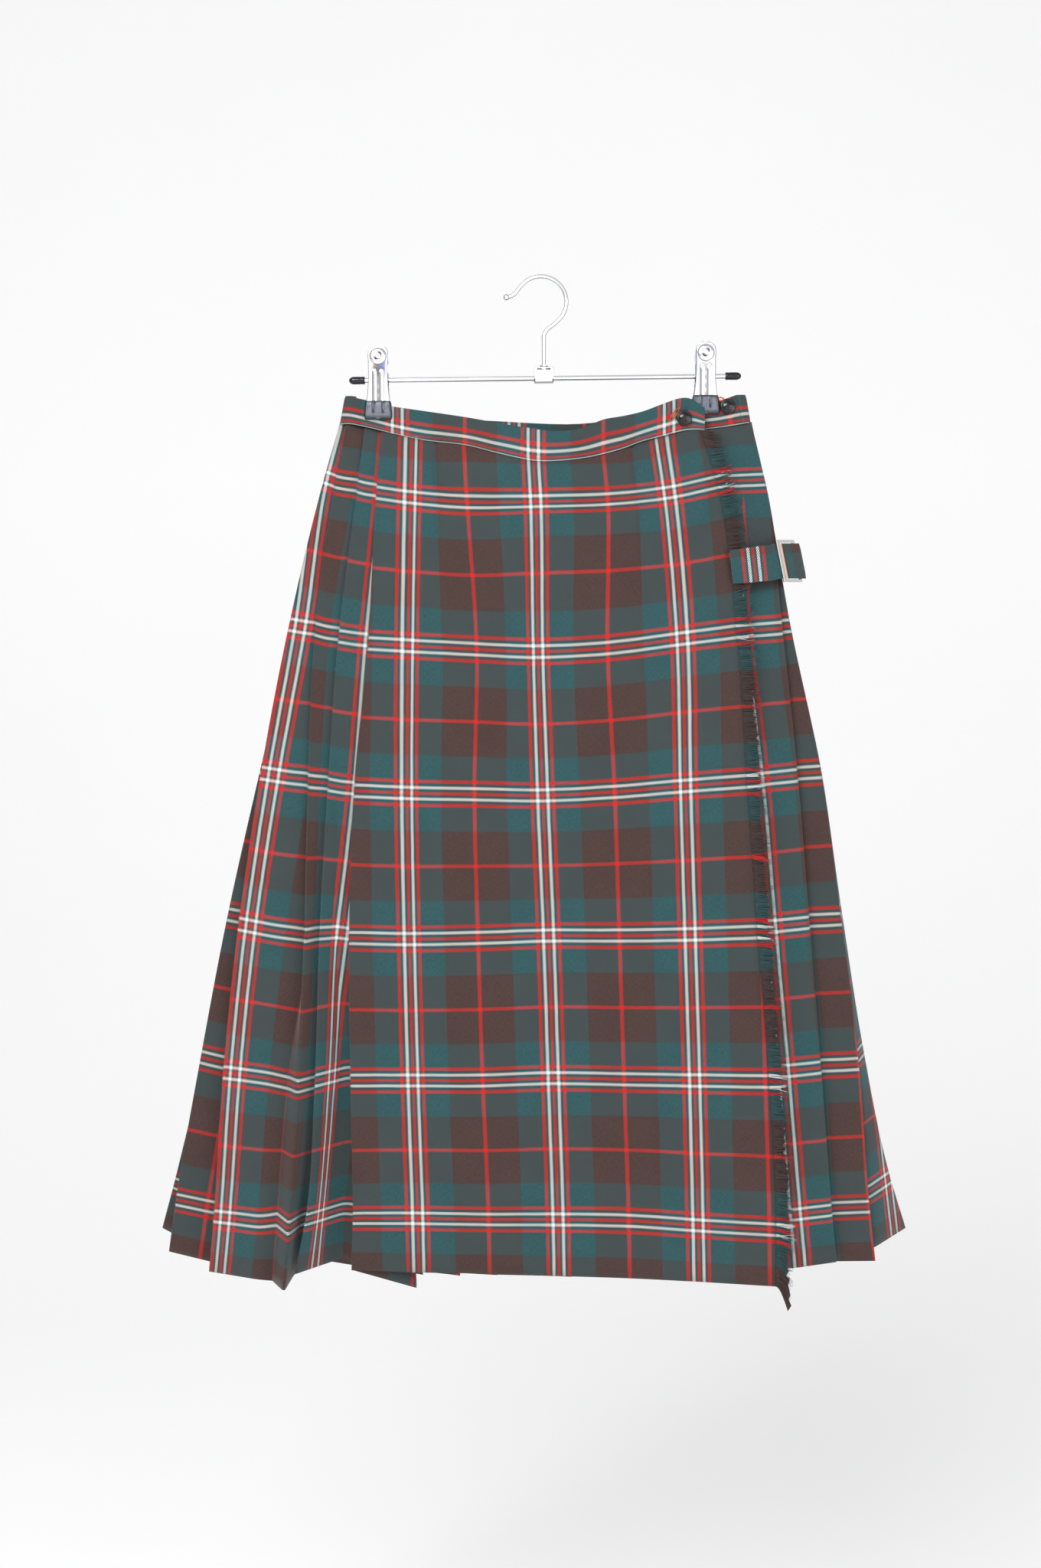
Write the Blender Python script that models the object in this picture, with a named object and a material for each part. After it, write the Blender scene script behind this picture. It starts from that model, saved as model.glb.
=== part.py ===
"""Pleated tartan kilt, clipped by its waistband to a trouser hanger.

The model is in metres, z up, with its origin at the top of the inside of the hanger's hook. x runs
to the wearer's left and y towards the wearer's back. The tables below are in millimetres. Their x
and z are those of the front view on the plane of the hanger's bar, and sight() sets each point at
its own depth. The cloth is one long length: the over apron, the pleats round the left side, the
back and the right side, and the under apron, each a wall through the same sections.
"""
import math

import bmesh
import bpy
import numpy as np

MM = 0.001

# Where the front view is taken from, and how far the eye is from the hanger.
EYE = (-17.0, -429.0)
EYE_DISTANCE = 1800.0

# Wall thicknesses, the gap at a seam, and the middle-to-middle distance of cloth folded double.
CLOTH = 1.1
BAND = 2.4
SEAM = 0.3
FOLD = 1.5

# Kinds of point on the way round the cloth: on a face, at a fold, at a fold where two walls part,
# and on a face where one wall joins the next.
PLAIN, FOLDED, PARTED, JOINED = range(4)
WALLS = ("over_apron", "pleats_left", "pleats_back_left", "pleats_back_right", "pleats_right",
         "under_apron")

# Distances down the cloth at which the tables give sizes: the waist seam, the six pairs of white
# stripes and the hem. The solids have a section at each of the second row's distances.
LEVELS = (0, 49, 169, 289, 409, 529, 649, 697)
SECTIONS = (0, 49, 109, 169, 229, 289, 349, 409, 469, 529, 589, 649, 697)

# The over apron, from its folded edge on the left to its fringed edge on the right. Each row is a
# stripe of the cloth: how far across, how far down and how far out it lies at each of LEVELS.
APRON = {
    "fold": ((-135, -139, -146, -158, -162, -161, -159, -160),
             (-132, -182, -310, -435, -560, -681, -798, -842),
             (-7.5, -11, -17, -24, -30, -35, -38, -40)),
    "left_group": ((-109, -110, -112, -113, -111, -108, -104, -103),
                   (-136, -186, -312, -437, -561, -681, -798, -844),
                   (-11, -15, -22, -28, -32, -36, -39, -40)),
    "left_line": ((-65, -62, -54, -56, -53, -49, -44, -43),
                  (-141, -190, -315, -438, -560, -681, -799, -845),
                  (-18, -22, -27, -31, -33, -37, -40, -42)),
    "middle_group": ((-6, -4, -2, 2, 7, 11, 15, 16),
                     (-154, -190, -317, -439, -558, -679, -799, -847),
                     (-27, -34, -39, -36, -35, -37, -39, -40)),
    "right_line": ((53, 57, 57, 63, 67, 71, 75, 76),
                   (-150, -188, -314, -436, -558, -680, -800, -849),
                   (-23, -32, -39, -38, -37, -39, -41, -42)),
    "right_group": ((102, 109, 120, 123, 127, 131, 134, 135),
                    (-136, -182, -306, -431, -557, -681, -804, -852),
                    (-13, -22, -31, -36, -38, -41, -44, -46)),
    "edge": ((136, 150, 167, 176, 185, 195, 201, 201),
             (-128, -173, -300, -427, -555, -682, -808, -856),
             (-9, -14, -22, -30, -36, -43, -50, -54)),
}
APRON_COLUMNS = 19

# Soft folds of the over apron: distance down at the top and the bottom, across at the top and the
# bottom, half width, and depth (negative is a ridge towards the viewer).
APRON_FOLDS = (
    (0, 330, -85, -22, 20, 4.0),
    (40, 697, -30, -18, 26, 2.5),
    (120, 697, 36, 44, 24, -3.0),
    (250, 697, -80, -88, 22, -3.0),
    (330, 697, 100, 104, 18, 2.5),
)

# The pleats of the left side. "pleat" rows are folded edges, which face left; "face" rows are lines
# down the cloth that shows between two folded edges.
LEFT = {
    "face_3": ((-142, -147, -158, -169, -173, -163, -165, -169),
               (-130, -179, -306, -432, -555, -674, -789, -832),
               (-4.5, -7.6, -12.6, -18.6, -20.5, -17, -14, -11)),
    "pleat_3": ((-149, -155, -171, -180, -187, -191, -199, -208),
                (-129, -177, -304, -430, -556, -681, -799, -845),
                (-4.5, -7.6, -13, -20, -26, -31, -36, -38)),
    "face_2": ((-157, -163, -180, -187, -190, -193, -203, -209),
               (-127, -175, -301, -428, -556, -683, -799, -845),
               (-1.5, -4.2, -8, -13, -17, -22, -20, -16)),
    "pleat_2": ((-165, -174, -191, -197, -200, -206, -214, -218),
                (-126, -173, -298, -427, -558, -686, -806, -859),
                (-1.5, -4.2, -9, -15, -23, -33, -42, -48)),
    "face_1": ((-164, -172, -196, -212, -226, -232, -238, -240),
               (-126, -173, -297, -424, -554, -679, -801, -850),
               (1.5, -0.8, -5, -10, -16, -23, -30, -35)),
    "pleat_1": ((-170, -183, -213, -237, -256, -269, -277, -281),
                (-124, -169, -294, -420, -548, -674, -796, -843),
                (1.5, -0.6, -3, -6, -8, -10, -12, -14)),
    "pleat_0": ((-169, -179, -208, -237, -265, -288, -309, -315),
                (-124, -168, -292, -415, -540, -661, -782, -826),
                (4.5, 3.4, 2, 0, 0, 2, 4, 6)),
    "corner": ((-168, -177, -204, -231, -259, -284, -311, -321),
               (-124, -167, -289, -412, -535, -654, -768, -806),
               (9, 8.6, 9, 9, 11, 15, 21, 28)),
}
# How far each hidden fold is tucked to the right of its folded edge, how far out it lies, and how
# much higher it hangs.
LEFT_TUCKS = {
    "fold": ((12, 14, 24, 34, 41, 46, 51, 55), (-5.2, -8.6, -14.2, -19.6, -22, -23, -25, -26),
             (0, 0, 0, -1, -2, -4, -8, -15)),
    "pleat_3": ((12, 14, 24, 29, 31, 31, 31, 31), (-2.2, -5.2, -8.5, -11, -7, -5, -4, -3),
                (0, 0, 0, 0, 1, 4, 9, 13)),
    "pleat_2": ((9, 11, 19, 16, 5, -8.5, -10, -10), (0.7, -1.9, -5, -9, -13, -20, -27, -32),
                (0, 0, 0, 0, 0, 3, 7, 8)),
    "pleat_1": ((10, 12, 22, 28, 32, 34, 34, 34), (3.7, 2.6, 0.6, -1, -1, 0, 0, 1), (0,) * 8),
    "pleat_0": ((10, 12, 20, 24, 28, 30, 32, 32), (7, 6.4, 5.6, 5, 6, 9, 13, 17), (0,) * 8),
}
# The left side's folded edges, front first, and the line of cloth that shows before each.
LEFT_PLEATS = {"pleat_3": "face_3", "pleat_2": "face_2", "pleat_1": "face_1", "pleat_0": None}
# How the cloth turns the corner to the back: across, down and out from the corner's line.
LEFT_TURN = ((0, 0, -1.2), (1.6, 0, 1.2))

# The pleats of the right side. Their folded edges face right.
RIGHT = {
    "corner": ((177, 190, 210, 237, 255, 274, 297, 310),
               (-124, -169, -292, -411, -533, -654, -763, -806),
               (7.5, 7, 7, 8, 10, 14, 20, 27)),
    "face_3": ((178, 189, 211, 237, 254, 269, 278, 283),
               (-124, -170, -294, -416, -540, -661, -776, -823),
               (5, 4.4, 3, 0.5, -1.5, -4, -6, -8)),
    "pleat_2": ((179, 190, 212, 238, 255, 270, 279, 284),
                (-124, -171, -295, -419, -544, -667, -788, -834),
                (2, 1.3, -1, -4, -8, -12, -15, -18)),
    "pleat_1": ((178, 190, 205, 218, 228, 238, 247, 251),
                (-124, -171, -297, -422, -547, -670, -791, -835),
                (-1, -2.5, -8, -14, -19, -24, -28, -32)),
    "face_1": ((151, 165, 180, 190, 200, 209, 216, 218),
               (-126, -172, -299, -425, -550, -673, -795, -840),
               (-1.5, -4, -10, -17, -22, -27, -32, -36)),
    "edge": ((124, 138, 155, 164, 173, 183, 189, 189),
             (-129, -173, -300, -426, -551, -674, -797, -842),
             (-2, -6, -12, -20, -25, -30, -35, -38)),
}
RIGHT_TUCKS = {
    "pleat_2": ((-10, -14, -22, -28, -32, -34, -36, -36), (4.1, 3.6, 1.6, -1, -4.5, -7.5, -10, -12.5),
                (0,) * 8),
    "pleat_1": ((-10, -14, -22, -28, -32, -34, -36, -36), (1.1, 0, -4, -9, -13, -17, -20, -23),
                (0,) * 8),
}
RIGHT_TURN = ((-6, 0, 3.4), (-1.6, 0, 1.4), (0, 0, -1.2))

# The back pleats: their number, how far the middle of the back bows out and hangs down, how deep
# the pleats stand, how far each hidden fold is tucked back, and how far the lowest fold sags.
BACK_PLEATS = 20
BACK_BOW = (1.5, 3, 6, 9, 12, 15, 17, 18)
BACK_DOWN = (-146, -190, -312, -434, -556, -679, -799, -846)
BACK_STAND = (5.5, 5.5, 7, 9, 11, 13, 15, 16)
BACK_TUCK = (12, 14, 21, 26, 30, 33, 35, 36)
BACK_SAG = (0, 0, 0, 0.3, 0.8, 1.5, 2.6, 3.4)
BACK_START = 3.0
# How the back flattens towards its middle, as powers: at the waist, and at the hem.
BACK_FLATNESS = (4, 2)
# The pleats next to the left corner are narrower and flatter, more so the nearer they lie.
NEAR_TUCK = 0.35
NEAR_STAND = (0.42, 0.15)

# The under apron, inside the over apron: its middle and left lines.
UNDER_APRON = {
    "middle": ((20, 22, 30, 34, 38, 42, 45, 46),
               (-152, -186, -312, -434, -554, -672, -790, -834),
               (-16, -20, -24, -25, -27, -29, -30, -31)),
    "left": ((-96, -97, -97, -98, -97, -96, -94, -93),
             (-140, -184, -310, -432, -554, -672, -790, -834),
             (-5, -7.5, -12, -16, -20, -24, -27, -28)),
}
UNDER_COLUMNS = 7

# The waistband, one strip in three stretches: across, down at the top, out at the top, out at the
# bottom. Its lower edge follows the cloth, and the clips' jaws press it flat where they hold it.
BAND_FRONT = (
    (139.5, -110, -9.6, -9.6), (128, -102.5, -9.6, -10), (118, -102, -8.8, -11.5),
    (103, -107, -10, -13.5), (87, -113, -13, -17), (70, -117, -17, -20.5),
    (53, -120, -20.5, -23.5), (36, -127, -23.5, -26), (15, -130, -25, -27.5),
    (-6, -128, -25, -27.5), (-35, -123, -21, -24), (-63, -118, -14, -18.5),
    (-97, -113, -5.5, -13), (-124.5, -109, -1.5, -9.2), (-137, -106, -1.5, -7.6),
    (-150.5, -103, -1.5, -5.5), (-162, -101, -2.4, -3), (-168.5, -100, -0.6, 0.5),
    (-168.5, -100, 1.6, 6), (-164, -100, 3.4, 10.5), (-157.5, -100.5, 3, 11),
)
BAND_BACK = (
    (-156, -102, 3, 11), (-150.5, -103.5, 1.5, 10.7), (-137, -107.5, 1.5, 10.8), (-124.5, -110.5, 1.5, 11),
    (-97, -114.5, 5, 12), (-63, -119.5, 8, 13), (-35, -121.5, 9.5, 13.5),
    (22, -124, 10, 13.5), (61, -120.5, 9, 13), (100, -112, 5, 12),
    (127, -108, 1.5, 10.8), (140, -106, 1.5, 10.5), (153, -104, 1.5, 10.2),
    (167, -100.5, 3.2, 9.5), (174.5, -99, 3, 8), (177.5, -99, 0.8, 3.4),
    (176, -99, -1.8, -1), (171.2, -99, -2.3, -2),
)
BAND_UNDER = (
    (170, -99, -2.4, -2.1), (153, -103.5, -1.5, -2), (140, -105.5, -1.5, -2),
    (127, -107, -1.5, -3), (116, -108.5, -3.2, -4.8), (105, -110, -5, -6.5), (87, -114, -8, -9),
    (53, -122, -13, -13.5), (22, -129, -15.5, -16), (-35, -124, -11.5, -12), (-96, -114, -2, -5),
)
# The band's rows, as shares of its height; it is pressed flat down to the second one.
BAND_ROWS = (0, 0.74, 1)
# How close in plan a cloth edge has to pass for the band to sit on it.
BAND_NEAR = 7.0
# Past the clips the band leans in towards its top: from where, how steeply, and how far at most.
BAND_HELD = 153.0
BAND_LEAN = 0.28
BAND_LEAN_MOST = 4.2

# The fringe down the over apron's right edge: number of locks, the backing's width, how far the
# locks reach and hang, how uneven they are, and their width at the root and the tip.
LOCKS = 124
BACKING_WIDTH = 2.0
BACKING_THICK = 1.0
LOCK_REACH = 14.0
LOCK_HANG = 2.5
LOCK_FALL = 11.0
LOCK_FALL_FROM = 0.93
LOCK_LIFT = 1.2
LOCK_UNEVEN = (0.12, 0.4, 0.5)
LOCK_ROOT = 0.62
LOCK_TIP = 0.4

# Buttons: across, down, and how far out their backs lie.
BUTTONS = {"button_over": (122, -118.6, -11.9), "button_under": (159, -109, -3.5)}
BUTTON_RADIUS = 6.3
BUTTON_PROFILE = ((0.0, 0.0), (0.8, 0.0), (1.0, 0.7), (1.0, 1.9), (0.86, 2.5), (0.74, 2.0), (0.45, 2.8),
                  (0.0, 3.2))

# The hip strap, its slide buckle and the tab that holds the buckle. The strap's rows: across, down
# at the top and the bottom, out. All three lean to the right, so much for each millimetre down.
STRAP_THICK = 2.0
STRAP = ((159.6, -231, -259.3, -22.0), (171, -229.5, -258.7, -21.4), (184, -227.5, -257.3, -18.8),
         (193.5, -226.5, -256.5, -15.8))
STRAP_LEAN = 0.11
BUCKLE_LEFT = (199.6, -13.5)
BUCKLE_RIGHT = (215.0, -1.8)
BUCKLE_LEAN = 0.2
BUCKLE_DOWN = (-222.0, -258.0)
BUCKLE_BAR = 2.4
BUCKLE_THICK = 1.6
BUCKLE_CLEAR = 0.7
BUCKLE_CROSS = 0.205
# Where the strap ends behind the buckle's left bar, as shares of the buckle's width.
STRAP_END = (-0.02, 0.2)
# The tab round the right bar, as shares of the width and of the clearance, and where it runs on.
TAB_LOOP = ((0.27, 1), (1.04, 1), (1.18, 0.38), (1.12, -1))
TAB = ((213.0, 5.0), (208.5, 8.5), (204.0, 12.6), (194.0, 14.4))

# The hanger. The bar runs from tip to tip and dips to the left.
BAR_ENDS = ((-160.0, -86.9), (168.0, -83.0))
BAR_RADIUS = 2.0
TIP_RADIUS = 3.25
TIP_LENGTH = 13.5
TIP_END = 2.2
TIP_CLEAR = 0.25
HOOK_WIRE = 1.7
HOOK_CENTRE = (0.5, -19.9)
HOOK_RADIUS = 21.6
HOOK_TIP = ((-26.8, -15.7), (-24.6, -15.0), (-21.4, -12.8), (-19.0, -9.6))
HOOK_NECK = ((18.0, -32.6), (12.0, -38.6), (5.6, -43.6), (2.9, -48.8), (2.9, -54.0), (2.9, -75.2))
HOOK_TURN = (140, -31, -17)
HOOK_BALL = 2.6
BRACKET_X = (-5.4, 11.2)
BRACKET_TOP = -75.6
BRACKET_SHEET = 1.3
BRACKET_DEPTH = 8.0

# The clips: the middle of each leaf, the top of the leaf, the top and bottom of the jaws.
CLIPS = {"clip_left": (-137.5, -58.0, -105.0, -120.5), "clip_right": (140.0, -55.0, -100.0, -116.0)}
LEAF_SHEET = 0.9
# Rows down a leaf, from its top as shares of its length: half width, and how far out it stands.
LEAF_ROWS = ((0.0, 3.6, 7.6), (0.05, 6.4, 7.9), (0.14, 8.4, 7.9), (0.3, 8.4, 7.3), (0.55, 8.3, 6.3),
             (0.8, 8.9, 5.1), (1.0, 10.0, 4.2))
# A leaf's two ribs: their far and near sides, their slope, their height and where they start.
RIB_X = (4.2, 1.6)
RIB_SLOPE = 0.9
RIB_HEIGHT = 0.7
RIB_FROM = 0.45
# Rows down a jaw, from its top as shares of its height: half width, and share of its thickness.
JAW_ROWS = ((0.0, 10.6, 0.75), (0.15, 10.9, 1.0), (0.8, 12.0, 1.0), (1.0, 11.1, 0.6))
JAW_THICK = 2.3
JAW_GRIP = 3.35
COIL_RADIUS = 4.2
COIL_HALF = 6.5
# The disc on a clip's front: its radius, how far below the leaf's top it lies, and its profile.
DISC_RADIUS = 7.2
DISC_DOWN = 9.5
DISC_PROFILE = ((0, 0.5), (2.0, 0.4), (3.2, 1.2), (5.6, 1.1), (DISC_RADIUS, 0), (0, 0))

# Each finish: colour, roughness, metallic.
COLOURS = {
    "wool": ((0.085, 0.09, 0.085), 0.9, 0.0),
    "band": ((0.1, 0.06, 0.05), 0.9, 0.0),
    "fringe": ((0.12, 0.05, 0.045), 0.95, 0.0),
    "button": ((0.01, 0.01, 0.012), 0.15, 0.0),
    "steel": ((0.78, 0.78, 0.8), 0.22, 1.0),
    "vinyl": ((0.03, 0.03, 0.035), 0.4, 0.0),
}


def sight(x, z, y):
    """The place, in millimetres, of a point that the front view shows at x and z, out at y."""
    scale = 1 + y / EYE_DISTANCE
    return (EYE[0] + (x - EYE[0]) * scale, y, EYE[1] + (z - EYE[1]) * scale)


def smooth(stations, values, at):
    """Reads a smooth curve through values at stations; values may hold a whole row each."""
    stations = np.asarray(stations, float)
    values = np.asarray(values, float)
    slopes = np.gradient(values, stations, axis=0)
    i = int(np.clip(np.searchsorted(stations, at) - 1, 0, len(stations) - 2))
    width = stations[i + 1] - stations[i]
    t = (at - stations[i]) / width
    return ((2 * t**3 - 3 * t**2 + 1) * values[i] + (t**3 - 2 * t**2 + t) * width * slopes[i]
            + (3 * t**2 - 2 * t**3) * values[i + 1] + (t**3 - t**2) * width * slopes[i + 1])


def line(row, down):
    """Across, down and out of one line of the cloth at a distance down it."""
    return np.array([smooth(LEVELS, column, down) for column in row])


def swell(share):
    """A soft bump that is 1 at 0 and dies away at 1."""
    return max(0.0, 1 - share * share) ** 2


def fold_depth(folds, x, down):
    """How far a set of soft folds moves the cloth at x and a distance down."""
    depth = 0.0
    for top, bottom, x_top, x_bottom, half, out in folds:
        if top <= down <= bottom:
            share = (down - top) / (bottom - top)
            centre = x_top + (x_bottom - x_top) * share
            fade = min(1.0, share * 4) if bottom == LEVELS[-1] else math.sin(math.pi * share)
            depth += out * fade * swell((x - centre) / half)
    return depth


def apron_point(across, down):
    """A point of the over apron: across is 0 at the fold and 1 at the fringed edge."""
    rows = np.array([line(row, down) for row in APRON.values()])
    x, z, y = smooth(range(len(rows)), rows, across * (len(rows) - 1))
    return x, z, y + fold_depth(APRON_FOLDS, x, down)


def tucked(name, down, rows, tucks):
    """The hidden fold that lies behind a folded edge."""
    x, z, _ = line(rows[name], down)
    across, out, rise = (smooth(LEVELS, row, down) for row in tucks[name])
    return np.array([x + across, z + rise, out])


def apron_points(down):
    """From the fringed edge to the folded edge, and back behind it to the first hidden fold."""
    points = [(apron_point(share, down), PLAIN) for share in np.linspace(1, 0, APRON_COLUMNS)]
    x, z, y = points.pop()[0]
    points.append(((x, z, y + FOLD / 2), FOLDED))
    turn = tucked("fold", down, APRON, LEFT_TUCKS)
    points.append((turn, PARTED))
    return points


def left_points(down):
    """Round the left side's pleats to its corner with the back."""
    points = []
    for fold, face in LEFT_PLEATS.items():
        if face:
            points.append((line(LEFT[face], down), PLAIN))
        points.append((line(LEFT[fold], down) + (0, 0, FOLD / 2), FOLDED))
        points.append((tucked(fold, down, LEFT, LEFT_TUCKS), PARTED if fold == "pleat_0" else FOLDED))
    corner = line(LEFT["corner"], down)
    points += [(corner + move, PLAIN) for move in LEFT_TURN]
    return points


def back_line(share, down):
    """The outside of the back, from the left corner at 0 to the right corner at 1."""
    left = line(LEFT["corner"], down)
    right = line(RIGHT["corner"], down)
    x, z, y = left + (right - left) * share
    from_middle = abs(2 * share - 1)
    waist, hem = BACK_FLATNESS
    edge = (left[1] + right[1]) / 2
    flatness = waist + (hem - waist) * down / LEVELS[-1]
    hang = (smooth(LEVELS, BACK_DOWN, down) - edge) * (1 - from_middle**flatness)
    bow = BACK_START + smooth(LEVELS, BACK_BOW, down) * (1 - from_middle**waist)
    return np.array([x, z + hang, y + bow])


def back_fold(index, down):
    """A folded edge of the back, which faces right, and the hidden fold behind it."""
    share = index / BACK_PLEATS
    outer = back_line(share, down)
    outer[1] -= smooth(LEVELS, BACK_SAG, down) * (1 + math.sin(BACK_PLEATS * index)) / 2
    width = line(RIGHT["corner"], down)[0] - line(LEFT["corner"], down)[0]
    tuck = smooth(LEVELS, BACK_TUCK, down) * min(1.0, NEAR_TUCK * index)
    inner = back_line(share - tuck / width, down)
    first, more = NEAR_STAND
    stand = smooth(LEVELS, BACK_STAND, down) * min(1.0, first + more * index)
    return outer, inner + (0, 0, -stand)


def back_points(down):
    """Round the back's pleats, up to the right corner."""
    points = []
    for index in range(1, BACK_PLEATS):
        outer, inner = back_fold(index, down)
        parted = index in (BACK_PLEATS // 2, BACK_PLEATS - 1)
        points += [(outer + (0, 0, -FOLD / 2), FOLDED), (inner, PARTED if parted else FOLDED)]
    return points


def right_points(down):
    """Round the right side's pleats to the edge under the fringe."""
    corner = line(RIGHT["corner"], down)
    points = [(corner + move, PLAIN) for move in RIGHT_TURN]
    points.append((line(RIGHT["face_3"], down), PLAIN))
    for fold in ("pleat_2", "pleat_1"):
        points.append((tucked(fold, down, RIGHT, RIGHT_TUCKS), FOLDED))
        points.append((line(RIGHT[fold], down) + (0, 0, FOLD / 2), FOLDED))
    points.append((line(RIGHT["face_1"], down), PLAIN))
    points.append((line(RIGHT["edge"], down), JOINED))
    return points


def under_points(down):
    """The under apron, from the right side's pleats to its free edge on the left."""
    rows = np.array([line(RIGHT["edge"], down), line(UNDER_APRON["middle"], down),
                     line(UNDER_APRON["left"], down)])
    return [(smooth((0, 1, 2), rows, at), PLAIN) for at in np.linspace(0, 2, UNDER_COLUMNS)[1:]]


def cloth_walls(down):
    """The cloth at a distance down it: a list of places for each wall, with its folds doubled."""
    points = apron_points(down) + left_points(down) + back_points(down) + right_points(down)
    points += under_points(down)
    places = [np.array(sight(*point)) for point, _ in points]
    walls = [[]]
    for i, (_, kind) in enumerate(points):
        here = places[i]
        if kind == PLAIN:
            walls[-1].append(here)
            continue
        before = (places[i - 1] - here) * (1, 1, 0)
        after = (places[i + 1] - here) * (1, 1, 0)
        before /= np.linalg.norm(before)
        after /= np.linalg.norm(after)
        if kind == JOINED:
            walls[-1].append(here)
            walls.append([here + after * SEAM])
            continue
        side = (before - after) / np.linalg.norm(before - after) * FOLD / 2
        walls[-1].append(here + side)
        if kind == PARTED:
            walls.append([])
        walls[-1].append(here - side)
    return walls


def seam_height(x, y, edges):
    """The height of the highest cloth edge that passes close to a place of the plan."""
    heights = []
    for edge in edges:
        for (x0, y0, z0), (x1, y1, z1) in zip(edge, edge[1:]):
            low, high = sorted((x0, x1))
            near = min(abs(y0 - y), abs(y1 - y)) < BAND_NEAR
            if near and low - BAND_NEAR <= x <= high + BAND_NEAR:
                share = np.clip((x - x0) / (x1 - x0), 0, 1) if high - low > SEAM else 0.5
                heights.append(z0 + (z1 - z0) * share)
    return max(heights) + 2 * SEAM


def band_path(table, share, edges):
    """One height of a stretch of the waistband: share is 0 at its top and 1 at its seam."""
    path = []
    flare = max(0.0, (share - BAND_ROWS[1]) / (1 - BAND_ROWS[1]))
    for x, top, y_top, y_bottom in table:
        lean = min(BAND_LEAN * max(0.0, abs(x) - BAND_HELD), BAND_LEAN_MOST)
        shift = math.copysign(lean * (1 - share), x)
        place = sight(x - shift, top, y_top + (y_bottom - y_top) * flare)
        foot = seam_height(place[0] + shift, y_bottom, edges)
        path.append((place[0], place[1], place[2] + (foot - place[2]) * share))
    return path


def offset(path, distance):
    """Moves a plan path sideways by a distance, with mitred corners."""
    plan = path[:, :2]
    steps = np.diff(plan, axis=0)
    steps /= np.linalg.norm(steps, axis=1)[:, None]
    normals = np.stack([steps[:, 1], -steps[:, 0]], axis=1)
    before = np.vstack([normals[:1], normals])
    after = np.vstack([normals, normals[-1:]])
    joined = before + after
    joined /= np.maximum(np.linalg.norm(joined, axis=1), 0.2)[:, None]
    cosine = np.maximum((joined * before).sum(axis=1), 0.6)
    moved = path.copy()
    moved[:, :2] += joined * (distance / cosine)[:, None]
    return moved


def new_object(name, bm, colour, smooth_angle=None):
    """Makes one named object, in metres, with its own material."""
    bmesh.ops.recalc_face_normals(bm, faces=bm.faces[:])
    for vert in bm.verts:
        vert.co *= MM
    mesh = bpy.data.meshes.new(name)
    bm.to_mesh(mesh)
    bm.free()
    if smooth_angle is not None:
        mesh.shade_smooth()
        mesh.set_sharp_from_angle(angle=math.radians(smooth_angle))
    obj = bpy.data.objects.new(name, mesh)
    bpy.context.scene.collection.objects.link(obj)
    paint(obj, colour)
    return obj


def paint(obj, colour):
    """Gives an object its own material."""
    base, roughness, metallic = COLOURS[colour]
    material = bpy.data.materials.new(obj.name)
    material.use_nodes = True
    shader = material.node_tree.nodes["Principled BSDF"]
    shader.inputs["Base Color"].default_value = (*base, 1)
    shader.inputs["Roughness"].default_value = roughness
    shader.inputs["Metallic"].default_value = metallic
    obj.data.materials.clear()
    obj.data.materials.append(material)


def wall(name, paths, thickness, colour):
    """A closed wall of even thickness through a path at each section, top section first."""
    bm = bmesh.new()
    rings = []
    for path in paths:
        middle = np.array(path)
        sides = [offset(middle, side * thickness / 2) for side in (1, -1)]
        rings.append([[bm.verts.new(point) for point in side] for side in sides])
    count = len(paths[0])
    for upper, lower in zip(rings, rings[1:]):
        for side in (0, 1):
            for i in range(count - 1):
                bm.faces.new((upper[side][i], upper[side][i + 1], lower[side][i + 1], lower[side][i]))
        for i in (0, count - 1):
            bm.faces.new((upper[0][i], upper[1][i], lower[1][i], lower[0][i]))
    for ring in (rings[0], rings[-1]):
        for i in range(count - 1):
            bm.faces.new((ring[0][i], ring[0][i + 1], ring[1][i + 1], ring[1][i]))
    return new_object(name, bm, colour, 40)


def make_cloth():
    """The skirt's walls, and the waistband's three stretches along their upper edges."""
    sections = [cloth_walls(down) for down in SECTIONS]
    for i, name in enumerate(WALLS):
        wall(name, [section[i] for section in sections], CLOTH, "wool")
    for name, table in (("waistband_over", BAND_FRONT), ("waistband_back", BAND_BACK),
                        ("waistband_under", BAND_UNDER)):
        wall(name, [band_path(table, share, sections[0]) for share in BAND_ROWS], BAND, "band")


def make_fringe():
    """A narrow backing along the over apron's edge, with a row of locks drawn out of it."""
    bm = bmesh.new()
    stations = []
    step = LEVELS[-1] / (LOCKS - 1 + LOCK_ROOT)
    for i in range(LOCKS):
        stations += [i * step, i * step + LOCK_ROOT * step]
    rims = []
    for down in stations:
        x, z, y = apron_point(1.0, down)
        inner = bm.verts.new(sight(x + SEAM, z, y))
        outer = [bm.verts.new(sight(x + SEAM + BACKING_WIDTH, z, y + side * BACKING_THICK / 2))
                 for side in (-1, 1)]
        rims.append((inner, *outer))
    for i, (here, there) in enumerate(zip(rims, rims[1:])):
        bm.faces.new((here[0], here[1], there[1], there[0]))
        bm.faces.new((here[0], there[0], there[2], here[2]))
        if i % 2:
            bm.faces.new((here[1], here[2], there[2], there[1]))
    bm.faces.new(rims[0])
    bm.faces.new(rims[-1])
    for i in range(LOCKS):
        draw_lock(bm, i, stations[2 * i], stations[2 * i + 1], rims[2 * i], rims[2 * i + 1])
    return new_object("fringe", bm, "fringe")


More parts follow.
